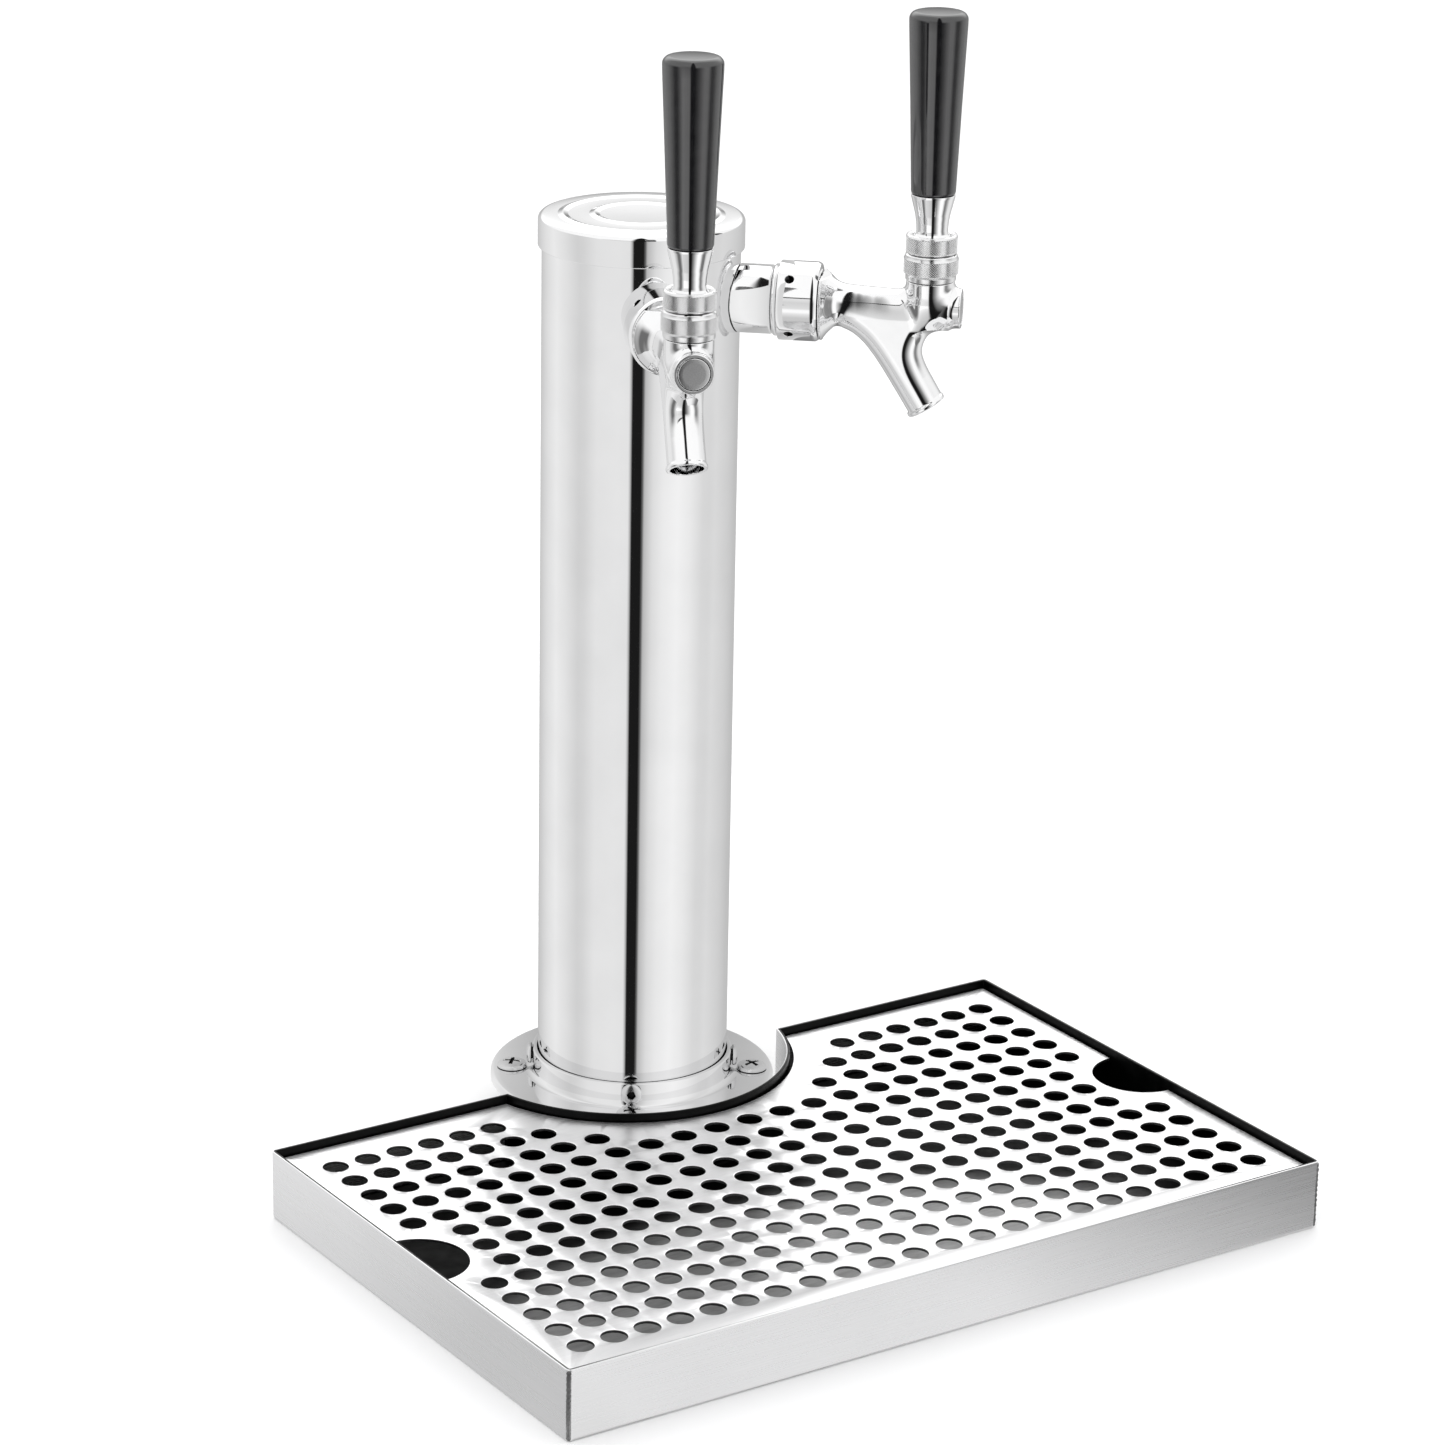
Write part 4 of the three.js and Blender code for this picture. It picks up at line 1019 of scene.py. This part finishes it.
def grate_mesh():
    """The punched plate: one flat sheet with round holes whose edges roll over."""
    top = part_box("drip_grate")[1].z / MM
    angles = full_turn(40)
    circle = np.stack([np.cos(angles), np.sin(angles)], 1)
    centres = np.array(hole_centres())
    faces, points = [], []

    def outlines(edge):
        """The plate's outline and its holes' at a distance in from its faces."""
        holes = [(centre + circle * (HOLE_RADIUS + edge))[::-1] for centre in centres]
        return [grate_outline(GRATE_INSET + edge), *holes]

    def numbered(loops, start):
        ends = start + np.cumsum([len(loop) for loop in loops])
        return [list(range(end - len(loop), end)) for loop, end in zip(loops, ends)]

    def side_ring(z, edge):
        loops = outlines(edge)
        numbers = numbered(loops, len(points))
        points.extend((x, y, z) for loop in loops for x, y in loop)
        return numbers

    def flat_face(z, edge, flip):
        loops = outlines(edge)
        numbers = numbered(loops, 0)
        flat = [Vector(p) for loop in loops for p in loop]
        made, _, triangles, source, _, _ = delaunay_2d_cdt(flat, [], numbers, 1, 1e-5)
        ids = {old: new for new, olds in enumerate(source) for old in olds}
        start = len(points)
        points.extend((p[0], p[1], z) for p in made)
        for face in triangles:
            middle = np.mean([made[i] for i in face], 0)
            if (np.hypot(*(centres - middle).T) < (HOLE_RADIUS + edge) * 0.97).any():
                continue
            faces.append(tuple(start + i for i in (reversed(face) if flip else face)))
        return [[start + ids[i] for i in loop] for loop in numbers]

    layers = [
        flat_face(top, 0.35, False), side_ring(top - 0.04, 0.18), side_ring(top - 0.16, 0.04),
        side_ring(top - 0.35, 0.0), side_ring(top - GRATE_SHEET + 0.1, 0.0),
        flat_face(top - GRATE_SHEET, 0.1, True),
    ]
    for above, below in zip(layers, layers[1:]):
        for a, b in zip(above, below):
            faces.extend(between(a, b))
    mesh = mesh_of("drip_grate", points, faces, sharp=30)
    # The hole walls and the underside get the near-black metal: painted shade.
    return two_materials(mesh, grate_steel, under_grate_painted_shade, lambda x, y, z: z < top - 0.2)


def leg_mesh():
    """The turned-down edges that the grate stands on, one in front and two behind."""
    low, high = height_of("drip_grate")
    top = high - 0.9
    side, back = HALF - GRATE_INSET - 0.6, TRAY_BACK - GRATE_INSET
    reach = sqrt((CUTOUT_RADIUS + GRATE_INSET) ** 2 - (CUTOUT_CENTRE - back) ** 2) + 1.5
    rear = back - GRATE_SHEET
    points, faces = [], []
    for x0, x1, y in ((-side, side, TRAY_FRONT + GRATE_INSET), (reach, side, rear), (-side, -reach, rear)):
        far = y + GRATE_SHEET
        section = rounded([
            (y + 0.6, low), (y, low, 0.35), (y, top, 0.5), (far, top, 0.2), (far, low, 0.35),
            (y + 0.6, low),
        ], 3)[:-1]
        a, b = ring_numbers(len(section), 2, start=len(points))
        points.extend((x, y, z) for x in (x0, x1) for y, z in section)
        faces += [(p, q, s, r) for p, r, s, q in between(a, b)]
        faces += [tuple(a), tuple(reversed(b))]
    return mesh_of("grate_legs", points, faces, sharp=40)


def seam_mesh(side):
    """The rough line where the front and end walls are joined, down the tray's front corner."""
    random = np.random.default_rng(7 if side < 0 else 8)
    rows, count = 90, 10
    x0, y0 = side * (HALF - 0.85), TRAY_FRONT + 0.85
    points = []
    outward = radians(225 if side < 0 else 315)
    wander = np.cumsum(random.normal(0, 0.09, rows))
    wander -= np.linspace(wander[0], wander[-1], rows)
    for k in range(rows):
        z = 0.5 + (TRAY_TOP - 0.9) * k / (rows - 1)
        size = 0.86 + 0.1 * sin(k * 0.9) + random.uniform(-0.1, 0.1)
        size *= min(1, 0.5 + k * 0.2, 0.5 + (rows - 1 - k) * 0.2)  # tapered at both ends
        for i in range(count):
            a = outward + 2 * pi * i / count
            r = size * (1 + random.uniform(-0.1, 0.1))
            x = x0 + r * cos(a) - 0.25 * wander[k] * sin(outward)
            y = y0 + r * sin(a) + 0.25 * wander[k] * cos(outward)
            x = max(-HALF + 0.01, min(HALF - 0.01, x))
            points.append((x, max(y, TRAY_FRONT + 0.01), z))
    rings = ring_numbers(count, rows)
    faces = [(a, d, c, b) for a, b, c, d in walls(rings)]
    faces += [tuple(rings[0]), tuple(reversed(rings[-1]))]
    return mesh_of("corner_seam", points, faces, sharp=60)


add("tray_sheet", swept_tray(), tray_steel, "tray", "brushed_tray", ["drip_tray"], TRAY_FRAME)
for side in (-1, 1):
    end = "left" if side < 0 else "right"
    add(f"corner_seam_{end}", seam_mesh(side), seam_steel, "tray", "brushed_tray", (), TRAY_FRAME)
add("grate_plate", grate_mesh(), grate_steel, "grate", "brushed_tray", ["drip_grate"], TRAY_FRAME)
add("grate_legs", leg_mesh(), tray_steel, "grate", "brushed_tray", (), TRAY_FRAME)


# ---- CAD nodes that stay: inner fittings ----
KEPT = {
    "shank_washer": inner_steel, "shank_nut": inner_steel, "tail_elbow": machined,
    "plunger": inner_steel, "plunger_seal": black_rubber, "lever_bushing": black_rubber, "lever": machined,
}
for name, material in KEPT.items():
    for side in TAPS:
        mesh = frame["nodes"][f"{name}_{side}"].data
        mesh.materials.clear()
        mesh.materials.append(material)
        mesh.polygons.foreach_set("material_index", [0] * len(mesh.polygons))


# ---- Floor, camera and light ----
def floor():
    far, z = 9000, -0.05
    corners = [(-far, -far, z), (far, -far, z), (far, far, z), (-far, far, z)]
    mesh = mesh_of("floor", corners, [(0, 1, 2, 3)])
    material, tree, shader = nodes_of("floor")
    pale = ramp(tree, noise(tree, 3, detail=2), grey(0.93), grey(0.96))
    connect(tree, shader, {"Roughness": 0.9, "Specular IOR Level": 0.1, "Base Color": pale})
    mesh.materials.append(material)
    piece = linked("floor", mesh)
    piece.visible_glossy = False


AZIMUTH, ELEVATION, ROLL = (radians(a) for a in (-33.71, 19.03, 1.03))
CAMERA_PLACE = Vector((-0.951, -1.402, 0.7785))


def direction(azimuth, elevation):
    """Towards a place seen from the object: azimuth from the front, elevation from level."""
    level = cos(elevation)
    return Vector((sin(azimuth) * level, -cos(azimuth) * level, sin(elevation)))


def camera():
    data = bpy.data.cameras.new("camera")
    data.sensor_width = 36
    data.lens = 117.9
    data.clip_end = 100
    eye = linked("camera", data)
    back = direction(AZIMUTH, ELEVATION)
    right = UP.cross(back).normalized()
    upward = back.cross(right)
    across = right * cos(ROLL) + upward * sin(ROLL)
    top = upward * cos(ROLL) - right * sin(ROLL)
    turn = Matrix((across, top, back)).transposed().to_4x4()
    eye.matrix_world = Matrix.Translation(CAMERA_PLACE) @ turn
    bpy.context.scene.camera = eye


def key_light():
    """A soft lamp high on the camera's left."""
    light = bpy.data.lights.new("key", "AREA")
    light.shape = "RECTANGLE"
    light.size = light.size_y = 1.4
    light.energy = 10
    lamp = linked("key", light)
    way = direction(radians(-70), radians(55))
    lamp.location = Vector((0, 0, 0.2)) + way * 2.2
    lamp.rotation_euler = way.to_track_quat("Z", "Y").to_euler()
    lamp.visible_glossy = False


# Brightness of the tent round the column, by the turn in degrees of the chrome face that mirrors it.
# Turns are measured from the side where the photograph was taken, a fixed direction of the scene.
SHADES = [
    (-90, 0.5), (-76, 0.66), (-65, 0.82), (-55, 0.93), (-46, 0.85), (-36, 0.72), (-32, 0.74),
    (-24, 0.86), (-12, 0.88), (-4.6, 0.86), (-3.4, 0.012), (2.8, 0.012), (4.2, 0.55), (9, 0.8),
    (15, 0.92), (24, 0.99), (32, 0.92), (41, 0.77), (46, 0.76), (51, 0.79), (65, 0.69), (76, 0.58),
    (90, 0.5),
]
# Brightness of the studio by turn, level with the object and overhead.
AROUND = [
    (-180, 0.22), (-150, 0.55), (-125, 0.9), (-100, 0.9), (-82, 0.5), (-72, 0.17), (-61, 0.17),
    (-50, 0.6), (-38, 1.3), (-20, 1.15), (-12, 1.08), (-9, 0.7), (-6.5, 0.012), (8, 0.012), (12, 0.1),
    (22, 0.32), (36, 0.8), (46, 1.15), (60, 1.1), (74, 0.25), (84, 0.28), (104, 0.85), (125, 0.9),
    (150, 0.55), (180, 0.22),
]
ABOVE = [
    (-180, 1.8), (-150, 1.8), (-128, 1.08), (-11, 1.12), (-6.5, 0.012),
    (8, 0.012), (12, 1.12), (128, 1.08), (150, 1.8), (180, 1.8),
]
# Brightness of the studio by height, on the side that the right tap mirrors: -180 is straight down and
# 180 straight up, in even steps of height. The dark line is the gap between the table and the lamps.
HEIGHTS = [
    (-180, 0.5), (-110, 0.58), (-78, 0.8), (-62, 1), (-46, 1), (-30, 0.74), (20, 0.66), (57, 0.8),
    (59.5, 0.02), (65, 0.02), (68, 1), (180, 1),
]
# Where HEIGHTS counts, by turn: where this is 1 it has no effect.
HEIGHTS_SIDE = [(-180, 1), (-46, 1), (-32, 0), (-4, 0), (6, 1), (180, 1)]
TENT_RADIUS, TENT_LOW, TENT_HIGH = 58.5, 6.0, 377.0
CARD_HEIGHT = -50  # the wall cards lie below the table top, which chrome does not mirror


def band_ramp(tree, value, places):
    """A grey ramp of (turn in degrees, shade) over a full turn; the value goes from 0 to 1."""
    bands = node(tree, "ValToRGB", {"Fac": value})
    elements = bands.color_ramp.elements
    for angle, _ in places[1:-1]:
        elements.new((angle + 180) / 360)
    for element, (angle, shade) in zip(elements, places):
        element.position = (angle + 180) / 360
        element.color = (shade, shade, shade, 1)
    return bands.outputs["Color"]


def maths(tree, operation, *values):
    """The result of a Math node; a value is a number or another node's output."""
    return node(tree, "Math", dict(enumerate(values)), operation=operation).outputs[0]


def turn_and_height(tree, vector):
    """A vector's turn from the photograph's side, as 0 to 1 over a full turn, and its z."""
    split = node(tree, "SeparateXYZ", {"Vector": vector})
    c, s = cos(AZIMUTH), sin(AZIMUTH)
    x, y, z = split.outputs
    side = maths(tree, "ADD", maths(tree, "MULTIPLY", x, c), maths(tree, "MULTIPLY", y, s))
    ahead = maths(tree, "SUBTRACT", maths(tree, "MULTIPLY", x, s), maths(tree, "MULTIPLY", y, c))
    angle = maths(tree, "ARCTAN2", side, ahead)
    return maths(tree, "MULTIPLY_ADD", angle, 1 / (2 * pi), 0.5), z


def sky():
    """A white studio, shaded round the horizon and bright above, with one narrow dark gap."""
    world = bpy.data.worlds.new("studio")
    bpy.context.scene.world = world
    world.use_nodes = True
    tree = world.node_tree
    turn, height = turn_and_height(tree, place_in(tree, "Generated"))
    above = node(
        tree, "MapRange", {"Value": height, "From Min": 0.05, "From Max": 0.42},
        interpolation_type="SMOOTHSTEP",
    ).outputs["Result"]
    around = mixed(tree, band_ramp(tree, turn, AROUND), band_ramp(tree, turn, ABOVE), above, "MIX")
    line = band_ramp(tree, maths(tree, "MULTIPLY_ADD", height, 0.5, 0.5), HEIGHTS)
    line = maths(tree, "MAXIMUM", line, band_ramp(tree, turn, HEIGHTS_SIDE))
    connect(tree, tree.nodes["Background"], {"Color": mixed(tree, around, line)})


def only_mirrored(piece):
    """A part of the studio that chrome mirrors, but that neither shows nor casts a shadow."""
    piece.visible_camera = False
    piece.visible_diffuse = False
    piece.visible_shadow = False
    piece.visible_transmission = False


def glowing(name, mesh, shade):
    """Gives a studio part its glow; shade makes the colour in the part's node tree."""
    material, tree, shader = nodes_of(name)
    glow = node(tree, "Emission", {"Color": shade(tree)}).outputs[0]
    tree.nodes.remove(shader)
    mesh.materials.append(material)
    return tree, tree.nodes["Material Output"], glow


def tent():
    """A light tent close round the column, seen only in its chrome and only from within."""
    angles = full_turn(256)
    ring = np.stack([np.cos(angles), np.sin(angles)], 1) * TENT_RADIUS
    points = [(x, y, z) for z in (TENT_LOW, TENT_HIGH) for x, y in ring]
    low, high = ring_numbers(len(angles), 2)
    faces = between(low, high)
    mesh = mesh_of("tent", points, faces, sharp=None, tidy=False)
    places = [(-180, 0.6)]
    for angle, shade in SHADES:
        a = radians(angle)
        across, ahead = COLUMN_RADIUS * sin(a), COLUMN_RADIUS * cos(a)
        reach = sqrt(TENT_RADIUS**2 - across**2) - ahead
        offset = atan2(reach * sin(a), COLUMN_RADIUS + reach * cos(a))
        places.append((angle + degrees(offset), shade))
    places.append((180, 0.6))
    tree, output, glow = glowing(
        "tent", mesh, lambda tree: band_ramp(tree, turn_and_height(tree, place_in(tree))[0], places)
    )
    clear = node(tree, "BsdfTransparent").outputs[0]
    outside = node(tree, "NewGeometry").outputs["Backfacing"]
    choose = node(tree, "MixShader", {"Fac": outside, 1: glow, 2: clear})
    connect(tree, output, {"Surface": choose.outputs[0]})
    piece = linked("tent", mesh)
    piece.location = (AXIS_X, AXIS_Y, 0)
    only_mirrored(piece)


def wall_card(name, west, east, south, north, axis, shades):
    """A glowing card low beside the tray, which one of its walls mirrors, shaded from end to end."""
    corners = ((west, south), (east, south), (east, north), (west, north))
    mesh = mesh_of(name, [(x, y, CARD_HEIGHT) for x, y in corners], [(0, 1, 2, 3)], smooth=False)

    def shade(tree):
        split = node(tree, "SeparateXYZ", {"Vector": place_in(tree, "Generated")})
        return ramp(tree, split.outputs[axis], *map(grey, shades))

    tree, output, glow = glowing(name, mesh, shade)
    connect(tree, output, {"Surface": glow})
    only_mirrored(linked(name, mesh))


floor()
camera()
sky()
tent()
wall_card("front_card", -100, 520, -480, -180, "X", (1.0, 0.2))
wall_card("left_card", -480, -180, -100, 360, "Y", (0.7, 0.95))
key_light()
bpy.context.scene.view_settings.view_transform = "Standard"

bpy.context.view_layer.update()
